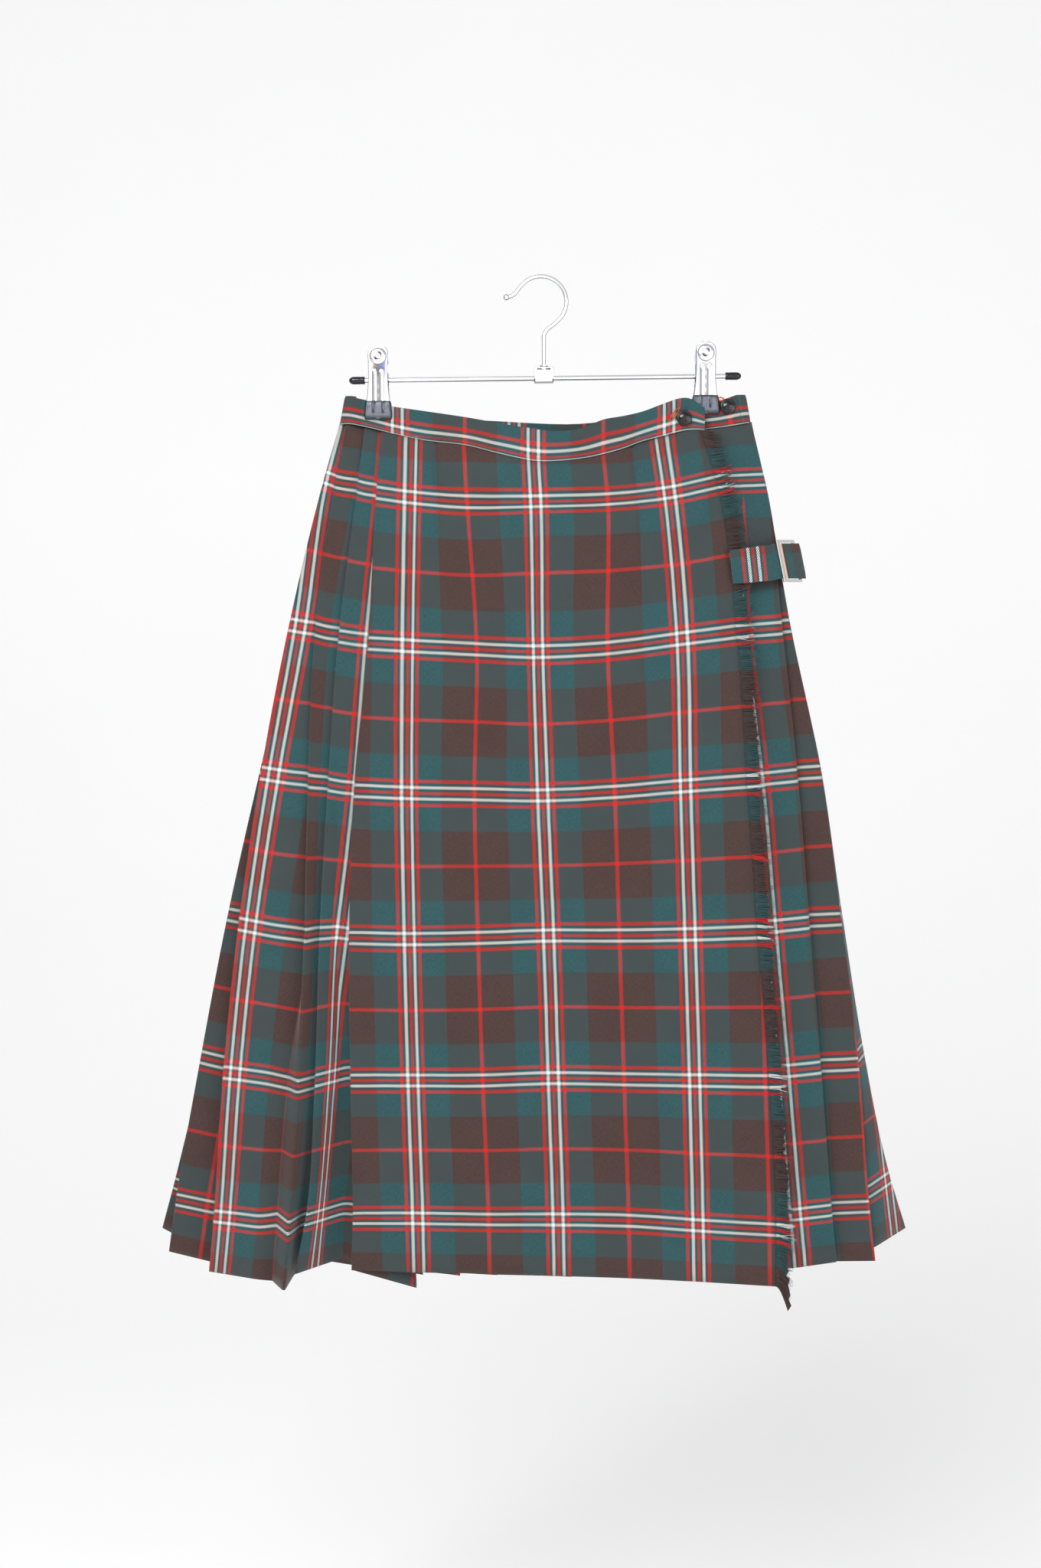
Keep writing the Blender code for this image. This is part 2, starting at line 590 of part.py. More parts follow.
def draw_lock(bm, index, top, bottom, upper, lower):
    """One lock of the fringe, drawn out of the backing's rim and hanging a little."""
    middle = (top + bottom) / 2
    low = max(0.0, (middle / LEVELS[-1] - LOCK_FALL_FROM) / (1 - LOCK_FALL_FROM))
    longer, hung, further = (share * math.sin(index * (2 + i)) for i, share in enumerate(LOCK_UNEVEN))
    reach = LOCK_REACH * (1 + longer)
    hang = LOCK_HANG * (1 + hung) + LOCK_FALL * low * low
    x, z, y = apron_point(1.0, middle)
    half = (bottom - top) / 2 * LOCK_TIP
    far = y + LOCK_LIFT + further
    tips = []
    for drop, side in ((half, -1), (half, 1), (-half, 1), (-half, -1)):
        tips.append(bm.verts.new(sight(x + SEAM + BACKING_WIDTH + reach, z - hang + drop,
                                       far + side * BACKING_THICK * 0.3)))
    root = (upper[1], upper[2], lower[2], lower[1])
    for i in range(4):
        j = (i + 1) % 4
        bm.faces.new((root[i], root[j], tips[j], tips[i]))
    bm.faces.new(tips)


def turned(name, profile, place, axis, segments, colour):
    """A solid turned about an axis through place: profile holds radius and distance along it."""
    bm = bmesh.new()
    along = np.array(axis, float) / np.linalg.norm(axis)
    side = np.cross(along, (0.0, 0.0, 1.0) if abs(along[2]) < 0.9 else (1.0, 0.0, 0.0))
    side /= np.linalg.norm(side)
    up = np.cross(along, side)
    rings = []
    for radius, distance in profile:
        centre = np.array(place) + along * distance
        if radius == 0:
            rings.append([bm.verts.new(centre)])
            continue
        ring = []
        for i in range(segments):
            angle = 2 * math.pi * i / segments
            ring.append(bm.verts.new(centre + radius * (side * math.cos(angle) + up * math.sin(angle))))
        rings.append(ring)
    closed = profile[0] == profile[-1]
    if closed:
        for vert in rings.pop():
            bm.verts.remove(vert)
    pairs = list(zip(rings, rings[1:])) + ([(rings[-1], rings[0])] if closed else [])
    for here, there in pairs:
        for i in range(segments):
            j = (i + 1) % segments
            if len(here) == 1:
                bm.faces.new((here[0], there[i], there[j]))
            elif len(there) == 1:
                bm.faces.new((here[i], there[0], here[j]))
            else:
                bm.faces.new((here[i], there[i], there[j], here[j]))
    return new_object(name, bm, colour, 35)


def make_buttons():
    """Two domed buttons with a raised rim."""
    profile = [(radius * BUTTON_RADIUS, height) for radius, height in BUTTON_PROFILE]
    for name, (x, z, y) in BUTTONS.items():
        turned(name, profile, sight(x, z, y), (0, -1, 0), 20, "button")


def leaning(x, z, y, lean):
    """A place on the strap, the buckle or the tab, which lean more to the right the lower it is."""
    return sight(x + lean * (BUCKLE_DOWN[0] - z), z, y)


def buckle_place(along, out, z):
    """A point of the buckle's plane: along it from its left bar, out from it, at height z."""
    left = np.array(BUCKLE_LEFT)
    step = np.array(BUCKLE_RIGHT) - left
    normal = np.array((step[1], -step[0])) / np.linalg.norm(step)
    x, y = left + step * along + normal * out
    return leaning(x, z, y, BUCKLE_LEAN)


def make_strap():
    """The hip strap, its slide buckle and the tab that holds the buckle to the pleats."""
    top, bottom = BUCKLE_DOWN
    inside = (top - BUCKLE_BAR - BUCKLE_CLEAR, bottom + BUCKLE_BAR + BUCKLE_CLEAR)
    clear = BUCKLE_THICK / 2 + STRAP_THICK / 2 + SEAM
    straps = []
    tabs = []
    for end, z in enumerate(inside):
        strap = [leaning(row[0], row[1 + end], row[3], STRAP_LEAN) for row in STRAP]
        straps.append(strap + [buckle_place(along, -clear, z) for along in STRAP_END])
        tab = [buckle_place(along, out * clear, z) for along, out in TAB_LOOP]
        tabs.append(tab + [leaning(x, z, y, STRAP_LEAN) for x, y in TAB])
    wall("strap", straps, STRAP_THICK, "wool")
    wall("strap_tab", tabs, STRAP_THICK, "wool")
    make_buckle(top, bottom)


def make_buckle(top, bottom):
    """The slide buckle: a flat frame with a second bar close to its left one."""
    bm = bmesh.new()
    length = np.linalg.norm(np.array(BUCKLE_RIGHT) - np.array(BUCKLE_LEFT))
    bar = BUCKLE_BAR / length
    cuts = (0.0, bar, BUCKLE_CROSS - bar / 2, BUCKLE_CROSS + bar / 2, 1.0 - bar, 1.0)
    heights = (top, top - BUCKLE_BAR, bottom + BUCKLE_BAR, bottom)
    grid = {}
    for side, out in enumerate((-BUCKLE_THICK / 2, BUCKLE_THICK / 2)):
        for i, along in enumerate(cuts):
            for j, z in enumerate(heights):
                grid[side, i, j] = bm.verts.new(buckle_place(along, out, z))
    solid = {(i, j) for i in range(5) for j in range(3) if j != 1 or i % 2 == 0}
    for i, j in solid:
        corners = ((i, j), (i + 1, j), (i + 1, j + 1), (i, j + 1))
        beside = ((i, j - 1), (i + 1, j), (i, j + 1), (i - 1, j))
        for side in (0, 1):
            bm.faces.new([grid[side, a, b] for a, b in corners])
        for (a, b), (c, d), cell in zip(corners, corners[1:] + corners[:1], beside):
            if cell not in solid:
                bm.faces.new((grid[0, a, b], grid[0, c, d], grid[1, c, d], grid[1, a, b]))
    new_object("strap_buckle", bm, "steel")


def bar_height(x):
    """Height of the bar's middle at x."""
    (x0, z0), (x1, z1) = BAR_ENDS
    return z0 + (z1 - z0) * (x - x0) / (x1 - x0)


def bar_axis():
    """Direction of the bar, from left to right."""
    (x0, z0), (x1, z1) = BAR_ENDS
    return np.array((x1 - x0, 0.0, z1 - z0)) / math.hypot(x1 - x0, z1 - z0)


def make_bar():
    """The bar and the soft tips on its ends."""
    (x0, z0), (x1, z1) = BAR_ENDS
    length = math.hypot(x1 - x0, z1 - z0)
    axis = bar_axis()
    rod = [(0, 0), (BAR_RADIUS, 0), (BAR_RADIUS, length), (0, length)]
    turned("hanger_bar", rod, (x0, 0, z0), axis, 14, "steel")
    bore = BAR_RADIUS + TIP_CLEAR
    inside = TIP_LENGTH - TIP_END
    cap = [(0, inside), (bore, inside), (bore, 0), (TIP_RADIUS, 0), (TIP_RADIUS, TIP_LENGTH * 0.75),
           (TIP_RADIUS * 0.7, TIP_LENGTH * 0.95), (0, TIP_LENGTH)]
    for name, end, way in (("hanger_tip_left", (x0, 0, z0), -1), ("hanger_tip_right", (x1, 0, z1), 1)):
        place = np.array(end) - axis * way * (inside - SEAM)
        turned(name, cap, place, axis * way, 14, "vinyl")


def make_hook():
    """The hook, one bent wire with a ball at its tip, and the bracket that holds it to the bar."""
    points = list(HOOK_TIP)
    for degrees in range(*HOOK_TURN):
        angle = math.radians(degrees)
        points.append((HOOK_CENTRE[0] + HOOK_RADIUS * math.cos(angle),
                       HOOK_CENTRE[1] + HOOK_RADIUS * math.sin(angle)))
    points += HOOK_NECK
    curve = bpy.data.curves.new("hook", "CURVE")
    curve.dimensions = "3D"
    curve.bevel_depth = HOOK_WIRE * MM
    curve.bevel_resolution = 3
    curve.use_fill_caps = True
    spline = curve.splines.new("POLY")
    spline.points.add(len(points) - 1)
    for point, (x, z) in zip(spline.points, points):
        point.co = (x * MM, 0, z * MM, 1)
    obj = bpy.data.objects.new("hanger_hook", curve)
    bpy.context.scene.collection.objects.link(obj)
    paint(obj, "steel")
    make_ball()
    make_bracket()


def make_ball():
    """The ball on the hook's open end, just off the wire."""
    steps = 6
    angles = [math.pi * i / steps for i in range(1, steps)]
    ball = [(HOOK_BALL * math.sin(angle), -HOOK_BALL * math.cos(angle)) for angle in angles]
    x, z = HOOK_TIP[0]
    place = (x - HOOK_BALL - SEAM, 0, z - 2 * SEAM)
    turned("hanger_hook_ball", [(0, -HOOK_BALL), *ball, (0, HOOK_BALL)], place, (1, 0, 0.2), 10, "steel")


def make_bracket():
    """A strip bent over the bar: two legs that close round it, under a flat top."""
    bm = bmesh.new()
    half = BRACKET_DEPTH / 2
    middle = (BRACKET_X[0] + BRACKET_X[1]) / 2
    floor = bar_height(middle) - BAR_RADIUS - BRACKET_SHEET - SEAM
    outer = [(-half, BRACKET_TOP), (half, BRACKET_TOP), (half, floor), (-half, floor)]
    sheet = BRACKET_SHEET
    inner = [(-half + sheet, BRACKET_TOP - sheet), (half - sheet, BRACKET_TOP - sheet),
             (half - sheet, floor + sheet), (-half + sheet, floor + sheet)]
    rings = []
    for x in BRACKET_X:
        lifts = (0, 0, bar_height(x) - bar_height(middle), bar_height(x) - bar_height(middle))
        rings.append([[bm.verts.new((x, y, z + lift)) for (y, z), lift in zip(ring, lifts)]
                      for ring in (outer, inner)])
    for i in range(4):
        j = (i + 1) % 4
        for ring in (0, 1):
            bm.faces.new((rings[0][ring][i], rings[0][ring][j], rings[1][ring][j], rings[1][ring][i]))
        for end in (0, 1):
            bm.faces.new((rings[end][0][i], rings[end][0][j], rings[end][1][j], rings[end][1][i]))
    new_object("hanger_bracket", bm, "steel")


def leaf_section(half, rib):
    """Across a leaf: x and how far the sheet is pressed out there."""
    far, near = RIB_X
    sides = (near - RIB_SLOPE, near, far, far + RIB_SLOPE, half)
    lifts = (0, rib, rib, 0, 0)
    right = list(zip(sides, lifts))
    return [(-x, lift) for x, lift in right[::-1]] + right


def make_leaf(name, centre, top, bottom, way):
    """One pressed leaf of a clip; way is -1 for the front leaf and 1 for the back one."""
    bm = bmesh.new()
    rings = []
    for share, half, out in LEAF_ROWS:
        z = top + (bottom - top) * share
        row = leaf_section(half, RIB_HEIGHT if share >= RIB_FROM else 0.0)
        last = len(row) - 1
        if half < RIB_X[0] + RIB_SLOPE:
            row = [(half * (2 * i / last - 1), 0.0) for i in range(last + 1)]
        outer = [bm.verts.new((centre + x, way * (out + lift), z)) for x, lift in row]
        inner = [bm.verts.new((centre + x, way * (out - LEAF_SHEET), z)) for x, _ in row]
        rings.append((outer, inner))
    for upper, lower in zip(rings, rings[1:]):
        for side in (0, 1):
            for i in range(last):
                bm.faces.new((upper[side][i], upper[side][i + 1], lower[side][i + 1], lower[side][i]))
        for i in (0, last):
            bm.faces.new((upper[0][i], upper[1][i], lower[1][i], lower[0][i]))
    for outer, inner in (rings[0], rings[-1]):
        for i in range(last):
            bm.faces.new((outer[i], outer[i + 1], inner[i + 1], inner[i]))
    new_object(name, bm, "steel", 30)


def make_jaw(name, centre, top, bottom, way):
    """The soft sleeve on the end of a leaf, with a rounded foot."""
    bm = bmesh.new()
    rings = []
    for share, half, thick in JAW_ROWS:
        z = top + (bottom - top) * share
        right = ((half, 0.0), (half + 0.3, 0.5), (half - 0.8, 1.0))
        plan = right + tuple((-x, out) for x, out in right[::-1])
        rings.append([bm.verts.new((centre + x, way * (JAW_GRIP + JAW_THICK * thick * out), z))
                      for x, out in plan])
    for upper, lower in zip(rings, rings[1:]):
        for i in range(6):
            j = (i + 1) % 6
            bm.faces.new((upper[i], upper[j], lower[j], lower[i]))
    bm.faces.new(rings[0])
    bm.faces.new(rings[-1])
    new_object(name, bm, "vinyl", 30)


def make_clips():
    """Two sprung clips: a coil on the bar, two leaves and two soft jaws each."""
    axis = bar_axis()
    for name, (centre, top, jaw_top, jaw_bottom) in CLIPS.items():
        z = bar_height(centre)
        bore = BAR_RADIUS + SEAM
        ring = [(bore, -COIL_HALF), (COIL_RADIUS, -COIL_HALF), (COIL_RADIUS, COIL_HALF), (bore, COIL_HALF),
                (bore, -COIL_HALF)]
        turned(name + "_coil", ring, (centre, 0, z), axis, 14, "steel")
        for word, way in (("front", -1), ("back", 1)):
            make_leaf(f"{name}_{word}_leaf", centre, top, jaw_top + SEAM, way)
            make_jaw(f"{name}_{word}_jaw", centre, jaw_top, jaw_bottom, way)
        out = LEAF_ROWS[2][2] + SEAM
        turned(name + "_disc", DISC_PROFILE, (centre, -out, top - DISC_DOWN), (0, -1, 0.02), 18, "steel")


def main():
    for obj in list(bpy.data.objects):
        bpy.data.objects.remove(obj, do_unlink=True)
    make_cloth()
    make_fringe()
    make_buttons()
    make_strap()
    make_bar()
    make_hook()
    make_clips()


main()
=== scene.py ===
"""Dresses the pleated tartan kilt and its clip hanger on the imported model.

The cloth is one long length of tartan twill, folded round the body: over apron, left pleats, back
pleats, right pleats and under apron. Each stretch is a thin sheet whose texture map holds the
distance along the cloth and down it, so the checks run true round every fold. Tables are in
millimetres. Their x and z are those of the front view on the plane of the hanger's bar, and
sight() sets each point at its own depth.
"""
import math

import bmesh
import bpy
import numpy as np
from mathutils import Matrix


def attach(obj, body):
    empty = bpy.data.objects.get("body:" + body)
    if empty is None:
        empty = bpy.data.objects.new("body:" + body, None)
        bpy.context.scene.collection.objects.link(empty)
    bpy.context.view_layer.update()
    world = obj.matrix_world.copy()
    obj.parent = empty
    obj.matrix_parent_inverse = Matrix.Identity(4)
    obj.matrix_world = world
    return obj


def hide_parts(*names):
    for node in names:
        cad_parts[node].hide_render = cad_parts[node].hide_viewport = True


bl_info = {
    "name": "Pleated Tartan Kilt",
    "version": (1, 0, 0),
    "blender": (4, 5, 0),
    "location": "View3D > Sidebar > Kilt",
    "description": "Builds the cloth, trimmings and hanger of a pleated tartan kilt",
    "category": "Add Mesh",
}

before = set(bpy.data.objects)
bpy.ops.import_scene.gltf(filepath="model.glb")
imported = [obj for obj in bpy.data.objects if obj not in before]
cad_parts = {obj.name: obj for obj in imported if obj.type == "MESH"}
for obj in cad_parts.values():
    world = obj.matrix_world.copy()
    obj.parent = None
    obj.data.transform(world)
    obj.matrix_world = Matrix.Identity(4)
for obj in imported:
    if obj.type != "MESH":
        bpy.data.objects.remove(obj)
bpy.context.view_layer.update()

MM = 0.001
BODY = "root"

# Where the front view is taken from, and how far the eye is from the hanger.
EYE = (-17.0, -429.0)
EYE_DISTANCE = 1800.0
# The photograph's size in pixels, the pixel of the hanger's hook and the size of a pixel there.
PHOTO = (1360, 2048)
HOOK_PIXEL = (706.0, 363.5)
PIXEL = 0.65

SEAM = 0.3
FOLD = 1.5
# Legs of a wall are parted into steps of this length, except short ones.
LEG = 9.0
LEG_SHORT = 3.0

# Kinds of point on the way round the cloth: on a face, at a folded edge, at a hidden fold, at a
# hidden fold where two walls part, and on a face where one wall joins the next.
PLAIN, FOLDED, TUCKED, PARTED, JOINED = range(5)
WALLS = ("over_apron", "pleats_left", "pleats_back_left", "pleats_back_right", "pleats_right",
         "under_apron")

# Distances down the cloth at which the tables give sizes.
LEVELS = (0, 49, 169, 289, 409, 529, 649, 697)
FIRST_GROUP = 49
SETT = 120.0

# The over apron's stripes: how far across, down and out each lies at LEVELS, and its place along
# the cloth, counted from the middle group of stripes.
APRON = {
    "fold": ((-135, -139, -146, -158, -162, -161, -159, -160),
             (-132, -182, -310, -435, -560, -681, -798, -842),
             (-7.5, -11, -17, -24, -30, -35, -38, -40),
             (-146, -149, -155, -165, -171, -173.5, -175.5, -178)),
    "left_group": ((-109, -110, -112, -113, -111, -108, -104, -103),
                   (-136, -186, -312, -437, -561, -681, -798, -844),
                   (-11, -15, -22, -28, -32, -36, -39, -40), (-120,) * 8),
    "left_line": ((-65, -62, -54, -56, -53, -49, -44, -43),
                  (-141, -190, -315, -438, -560, -681, -799, -845),
                  (-18, -22, -27, -31, -33, -37, -40, -42), (-60,) * 8),
    "middle_group": ((-6, -4, -2, 2, 7, 11, 15, 16),
                     (-154, -190, -317, -439, -558, -679, -799, -847),
                     (-27, -34, -39, -36, -35, -37, -39, -40), (0,) * 8),
    "right_line": ((53, 57, 57, 63, 67, 71, 75, 76),
                   (-150, -188, -314, -436, -558, -680, -800, -849),
                   (-23, -32, -39, -38, -37, -39, -41, -42), (60,) * 8),
    "right_group": ((102, 109, 120, 123, 127, 131, 134, 135),
                    (-136, -182, -306, -431, -557, -681, -804, -852),
                    (-13, -22, -31, -36, -38, -41, -44, -46), (120,) * 8),
    "edge": ((136, 150, 167, 176, 185, 195, 201, 201),
             (-128, -173, -300, -427, -555, -682, -808, -856),
             (-9, -14, -22, -30, -36, -43, -50, -54),
             (154, 161, 167.6, 173.4, 177.7, 184, 186.4, 186)),
}
APRON_STEPS = 8
# The darts: between which stripes, how far between them, and how much cloth they take at the waist.
DARTS = {1: (0.5, 17.0), 4: (0.47, 13.0)}
DART_LENGTH = 168.0
DART_DEPTH = 1.3
DART_HALF = 0.03
# How much lower the waist seam cuts the cloth at the middle of the apron.
SEAM_DIP = (14.0, 10.0, 110.0)

# Soft folds of the over apron: distance down at the top and the bottom, across at the top and the
# bottom, half width, and depth (negative is a ridge towards the viewer).
APRON_FOLDS = (
    (0, 330, -85, -22, 20, 4.0),
    (40, 697, -30, -18, 26, 2.5),
    (120, 697, 36, 44, 24, -3.0),
    (250, 697, -80, -88, 22, -3.0),
    (330, 697, 100, 104, 18, 2.5),
)
# Smaller creases that only the cloth's surface shows, in the same columns.
APRON_CREASES = (
    (6, 150, -52, -8, 9, 1.3), (20, 120, -20, 4, 8, -0.9), (10, 95, 20, 10, 8, 1.0),
    (14, 150, 62, 40, 10, 1.1), (30, 190, 96, 82, 9, -1.0), (60, 260, -118, -120, 9, 1.0),
    (180, 420, -40, -46, 12, 0.8),
    (260, 520, 12, 20, 13, -0.9), (300, 640, 72, 80, 10, 0.8), (380, 697, -128, -130, 9, -1.0),
    (420, 697, 140, 150, 10, 0.9), (470, 697, -52, -56, 9, 0.7), (520, 697, 30, 34, 8, 0.7),
)

# The left side. "pleat" rows are folded edges, which face left, and give the place along the cloth
# in a fourth column; "face" rows are lines down the cloth that shows between two folded edges.
LEFT = {
    "face_3": ((-142, -147, -158, -169, -173, -163, -165, -169),
               (-130, -179, -306, -432, -555, -674, -789, -832),
               (-4.5, -7.6, -12.6, -18.6, -20.5, -17, -14, -11)),
    "pleat_3": ((-149, -155, -171, -180, -187, -191, -199, -208),
                (-129, -177, -304, -430, -556, -681, -799, -845),
                (-4.5, -7.6, -13, -20, -26, -31, -36, -38),
                (-262, -264, -267, -267, -264, -264, -264, -265)),
    "face_2": ((-157, -163, -180, -187, -190, -193, -203, -209),
               (-127, -175, -301, -428, -556, -683, -799, -845),
               (-1.5, -4.2, -8, -13, -17, -22, -20, -16)),
    "pleat_2": ((-165, -174, -191, -197, -200, -206, -214, -218),
                (-126, -173, -298, -427, -558, -686, -806, -859),
                (-1.5, -4.2, -9, -15, -23, -33, -42, -48),
                (-409, -408, -404, -401, -399, -399, -399, -399)),
    "face_1": ((-164, -172, -196, -212, -226, -232, -238, -240),
               (-126, -173, -297, -424, -554, -679, -801, -850),
               (1.5, -0.8, -5, -10, -16, -23, -30, -35)),
    "pleat_1": ((-170, -183, -213, -237, -256, -269, -277, -281),
                (-124, -169, -294, -420, -548, -674, -796, -843),
                (1.5, -0.6, -3, -6, -8, -10, -12, -14),
                (-477, -478, -489.5, -491, -491, -491, -491, -491)),
    "pleat_0": ((-169, -179, -208, -237, -265, -288, -309, -315),
                (-124, -168, -292, -415, -540, -661, -782, -826),
                (4.5, 3.4, 2, 0, 0, 2, 4, 6), (-687,) * 8),
    "corner": ((-168, -177, -204, -231, -259, -284, -311, -321),
               (-124, -167, -289, -412, -535, -654, -768, -806),
               (9, 8.6, 9, 9, 11, 15, 21, 28)),
}
# How far each hidden fold is tucked to the right of its folded edge, how far out it lies, and how
# much higher it hangs.
LEFT_TUCKS = {
    "fold": ((12, 14, 24, 34, 41, 46, 51, 55), (-5.2, -8.6, -14.2, -19.6, -22, -23, -25, -26),
             (0, 0, 0, -1, -2, -4, -8, -15)),
    "pleat_3": ((12, 14, 24, 29, 31, 31, 31, 31), (-2.2, -5.2, -8.5, -11, -7, -5, -4, -3),
                (0, 0, 0, 0, 1, 4, 9, 13)),
    "pleat_2": ((9, 11, 19, 16, 5, -8.5, -10, -10), (0.7, -1.9, -5, -9, -13, -20, -27, -32),
                (0, 0, 0, 0, 0, 3, 7, 8)),
    "pleat_1": ((10, 12, 22, 28, 32, 34, 34, 34), (3.7, 2.6, 0.6, -1, -1, 0, 0, 1), (0,) * 8),
    "pleat_0": ((10, 12, 20, 24, 28, 30, 32, 32), (7, 6.4, 5.6, 5, 6, 9, 13, 17), (0,) * 8),
}
LEFT_PLEATS = {"pleat_3": "face_3", "pleat_2": "face_2", "pleat_1": "face_1", "pleat_0": None}
LEFT_TURN = ((0, 0, -1.2), (1.6, 0, 1.2))

# The right side. Its folded edges face right.
RIGHT = {
    "corner": ((177, 190, 210, 237, 255, 274, 297, 310),
               (-124, -169, -292, -411, -533, -654, -763, -806),
               (7.5, 7, 7, 8, 10, 14, 20, 27)),
    "face_3": ((178, 189, 211, 237, 254, 269, 278, 283),
               (-124, -170, -294, -416, -540, -661, -776, -823),
               (5, 4.4, 3, 0.5, -1.5, -4, -6, -8), (-4231,) * 8),
    "pleat_2": ((179, 190, 212, 238, 255, 270, 279, 284),
                (-124, -171, -295, -419, -544, -667, -788, -834),
                (2, 1.3, -1, -4, -8, -12, -15, -18),
                (-4384, -4384, -4384, -4384, -4383, -4380.5, -4380, -4380)),
    "pleat_1": ((178, 190, 205, 218, 228, 238, 247, 251),
                (-124, -171, -297, -422, -547, -670, -791, -835),
                (-1, -2.5, -8, -14, -19, -24, -28, -32),
                (-4532, -4530, -4524, -4526, -4527, -4528, -4529, -4529)),
    "face_1": ((151, 165, 180, 190, 200, 209, 216, 218),
               (-126, -172, -299, -425, -550, -673, -795, -840),
               (-1.5, -4, -10, -17, -22, -27, -32, -36)),
    "edge": ((124, 138, 155, 164, 173, 183, 189, 189),
             (-129, -173, -300, -426, -551, -674, -797, -842),
             (-2, -6, -12, -20, -25, -30, -35, -38)),
}
RIGHT_TUCKS = {
    "pleat_2": ((-10, -14, -22, -28, -32, -34, -36, -36), (4.1, 3.6, 1.6, -1, -4.5, -7.5, -10, -12.5),
                (0,) * 8),
    "pleat_1": ((-10, -14, -22, -28, -32, -34, -36, -36), (1.1, 0, -4, -9, -13, -17, -20, -23),
                (0,) * 8),
}
RIGHT_TURN = ((-6, 0, 3.4), (-1.6, 0, 1.4), (0, 0, -1.2))
# The dent in the front left pleat: how far across the pleat's face, how deep, and how much more
# cloth it takes.
DENT = ((0.5, 0.5, 0.5, 0.8, 0.9, 0.75, 0.62, 0.7), (0, 0, 0, 0.5, 1, 4, 5, 4), (0, 0, 0, 1, 4, 11, 14, 6))
# The small tuck at the waist beside the fringe: distances down, its place along the cloth there, and
# how much cloth it swallows. It lies at most so far across the pleat's face.
WAIST_TUCK = ((0, 50, 75, 130), (-4549, -4549, -4553, -4553), (22.4, 22.4, 18, 0))
TUCK_MOST = 0.95

# The back: how far its middle bows out and hangs down, how deep the pleats stand, how far each
# hidden fold is tucked back, and how the pattern runs on from pleat to pleat.
BACK_PLEATS = 20
BACK_BOW = (1.5, 3, 6, 9, 12, 15, 17, 18)
BACK_DOWN = (-146, -190, -312, -434, -556, -679, -799, -846)
BACK_STAND = (5.5, 5.5, 7, 9, 11, 13, 15, 16)
BACK_TUCK = (12, 14, 21, 26, 30, 33, 35, 36)
BACK_SAG = (0, 0, 0, 0.3, 0.8, 1.5, 2.6, 3.4)
BACK_START = 3.0
BACK_FLATNESS = (4, 2)
NEAR_TUCK = 0.35
NEAR_STAND = (0.42, 0.15)
BACK_FIRST = -770.0
BACK_REPEAT = 151.0

# The under apron, inside the over apron: its middle and left lines.
UNDER_APRON = {
    "middle": ((20, 22, 30, 34, 38, 42, 45, 46),
               (-152, -186, -312, -434, -554, -672, -790, -834),
               (-16, -20, -24, -25, -27, -29, -30, -31)),
    "left": ((-96, -97, -97, -98, -97, -96, -94, -93),
             (-140, -184, -310, -432, -554, -672, -790, -834),
             (-5, -7.5, -12, -16, -20, -24, -27, -28)),
}
UNDER_COLUMNS = 7

# Creases of the pleated walls: across and height at the top and the bottom, half width, depth.
FRONT_CREASES = (
    (-200, -330, -230, -560, 12, 0.8), (-236, -560, -262, -800, 12, 0.9), (-186, -260, -196, -420, 7, 0.6),
    (-188, -560, -196, -800, 8, 0.8), (196, -260, 214, -470, 9, 0.7), (222, -500, 240, -800, 10, 0.9),
    (258, -560, 282, -800, 10, 0.8), (-60, -330, -70, -800, 20, 1.2), (60, -420, 66, -820, 22, -1.2),
)
BACK_CREASES = (
    (-120, -190, -190, -520, 16, 1.1), (-40, -180, -70, -420, 14, -0.9), (30, -200, 26, -560, 18, 1.1),
    (110, -190, 160, -470, 15, -1.0), (150, -420, 210, -760, 17, 1.2), (-210, -500, -262, -780, 16, -1.1),
    (-100, -520, -128, -820, 18, 1.2), (70, -560, 88, -840, 16, -1.0), (-10, -600, -22, -840, 15, 1.0),
)

# How far the cloth goes up into the waistband, and how far behind its face.
SEWN_IN = 2.0
SEWN_INSIDE = 1.0
# The waistband's thickness and its height when flat, and the share of the height that hangs straight.
BAND = 2.4
BAND_PINCH = 0.74
BAND_ROWS = 9
# How near to the band's plan a cloth edge has to pass to carry it, and how far the band laps it.
BAND_NEAR = 7.0
BAND_LAP = 1.3
# Past the clips the band leans out: where that starts, how steeply, and at most how far.
BAND_HELD = 153.0
BAND_LEAN = 0.28
BAND_LEAN_MOST = 4.2
# The three stretches: across, down at the top, out at the top, out at the bottom.
BAND_FRONT = (
    (139.5, -110, -9.6, -9.6), (128, -102.5, -9.6, -10), (118, -102, -8.8, -11.5),
    (103, -107, -10, -13.5), (87, -113, -13, -17), (70, -117, -17, -20.5),
    (53, -120, -20.5, -23.5), (36, -127, -23.5, -26), (15, -130, -25, -27.5),
    (-6, -128, -25, -27.5), (-35, -123, -21, -24), (-63, -118, -14, -18.5),
    (-97, -113, -5.5, -13), (-124.5, -109, -1.5, -9.2), (-137, -106, -1.5, -7.6),
    (-150.5, -103, -1.5, -5.5), (-162, -101, -2.4, -3), (-168.5, -100, -0.6, 0.5),
    (-168.5, -100, 1.6, 6), (-164, -100, 3.4, 10.5), (-157.5, -100.5, 3, 11),
)
BAND_BACK = (
    (-156, -102, 3, 11), (-150.5, -103.5, 1.5, 10.7), (-137, -107.5, 1.5, 10.8), (-124.5, -110.5, 1.5, 11),
    (-97, -114.5, 5, 12), (-63, -119.5, 8, 13), (-35, -121.5, 9.5, 13.5),
    (22, -124, 10, 13.5), (61, -120.5, 9, 13), (100, -112, 5, 12),
    (127, -108, 1.5, 10.8), (140, -106, 1.5, 10.5), (153, -104, 1.5, 10.2),
    (167, -100.5, 3.2, 9.5), (174.5, -99, 3, 8), (177.5, -99, 0.8, 3.4),
    (176, -99, -1.8, -1), (171.2, -99, -2.3, -2),
)
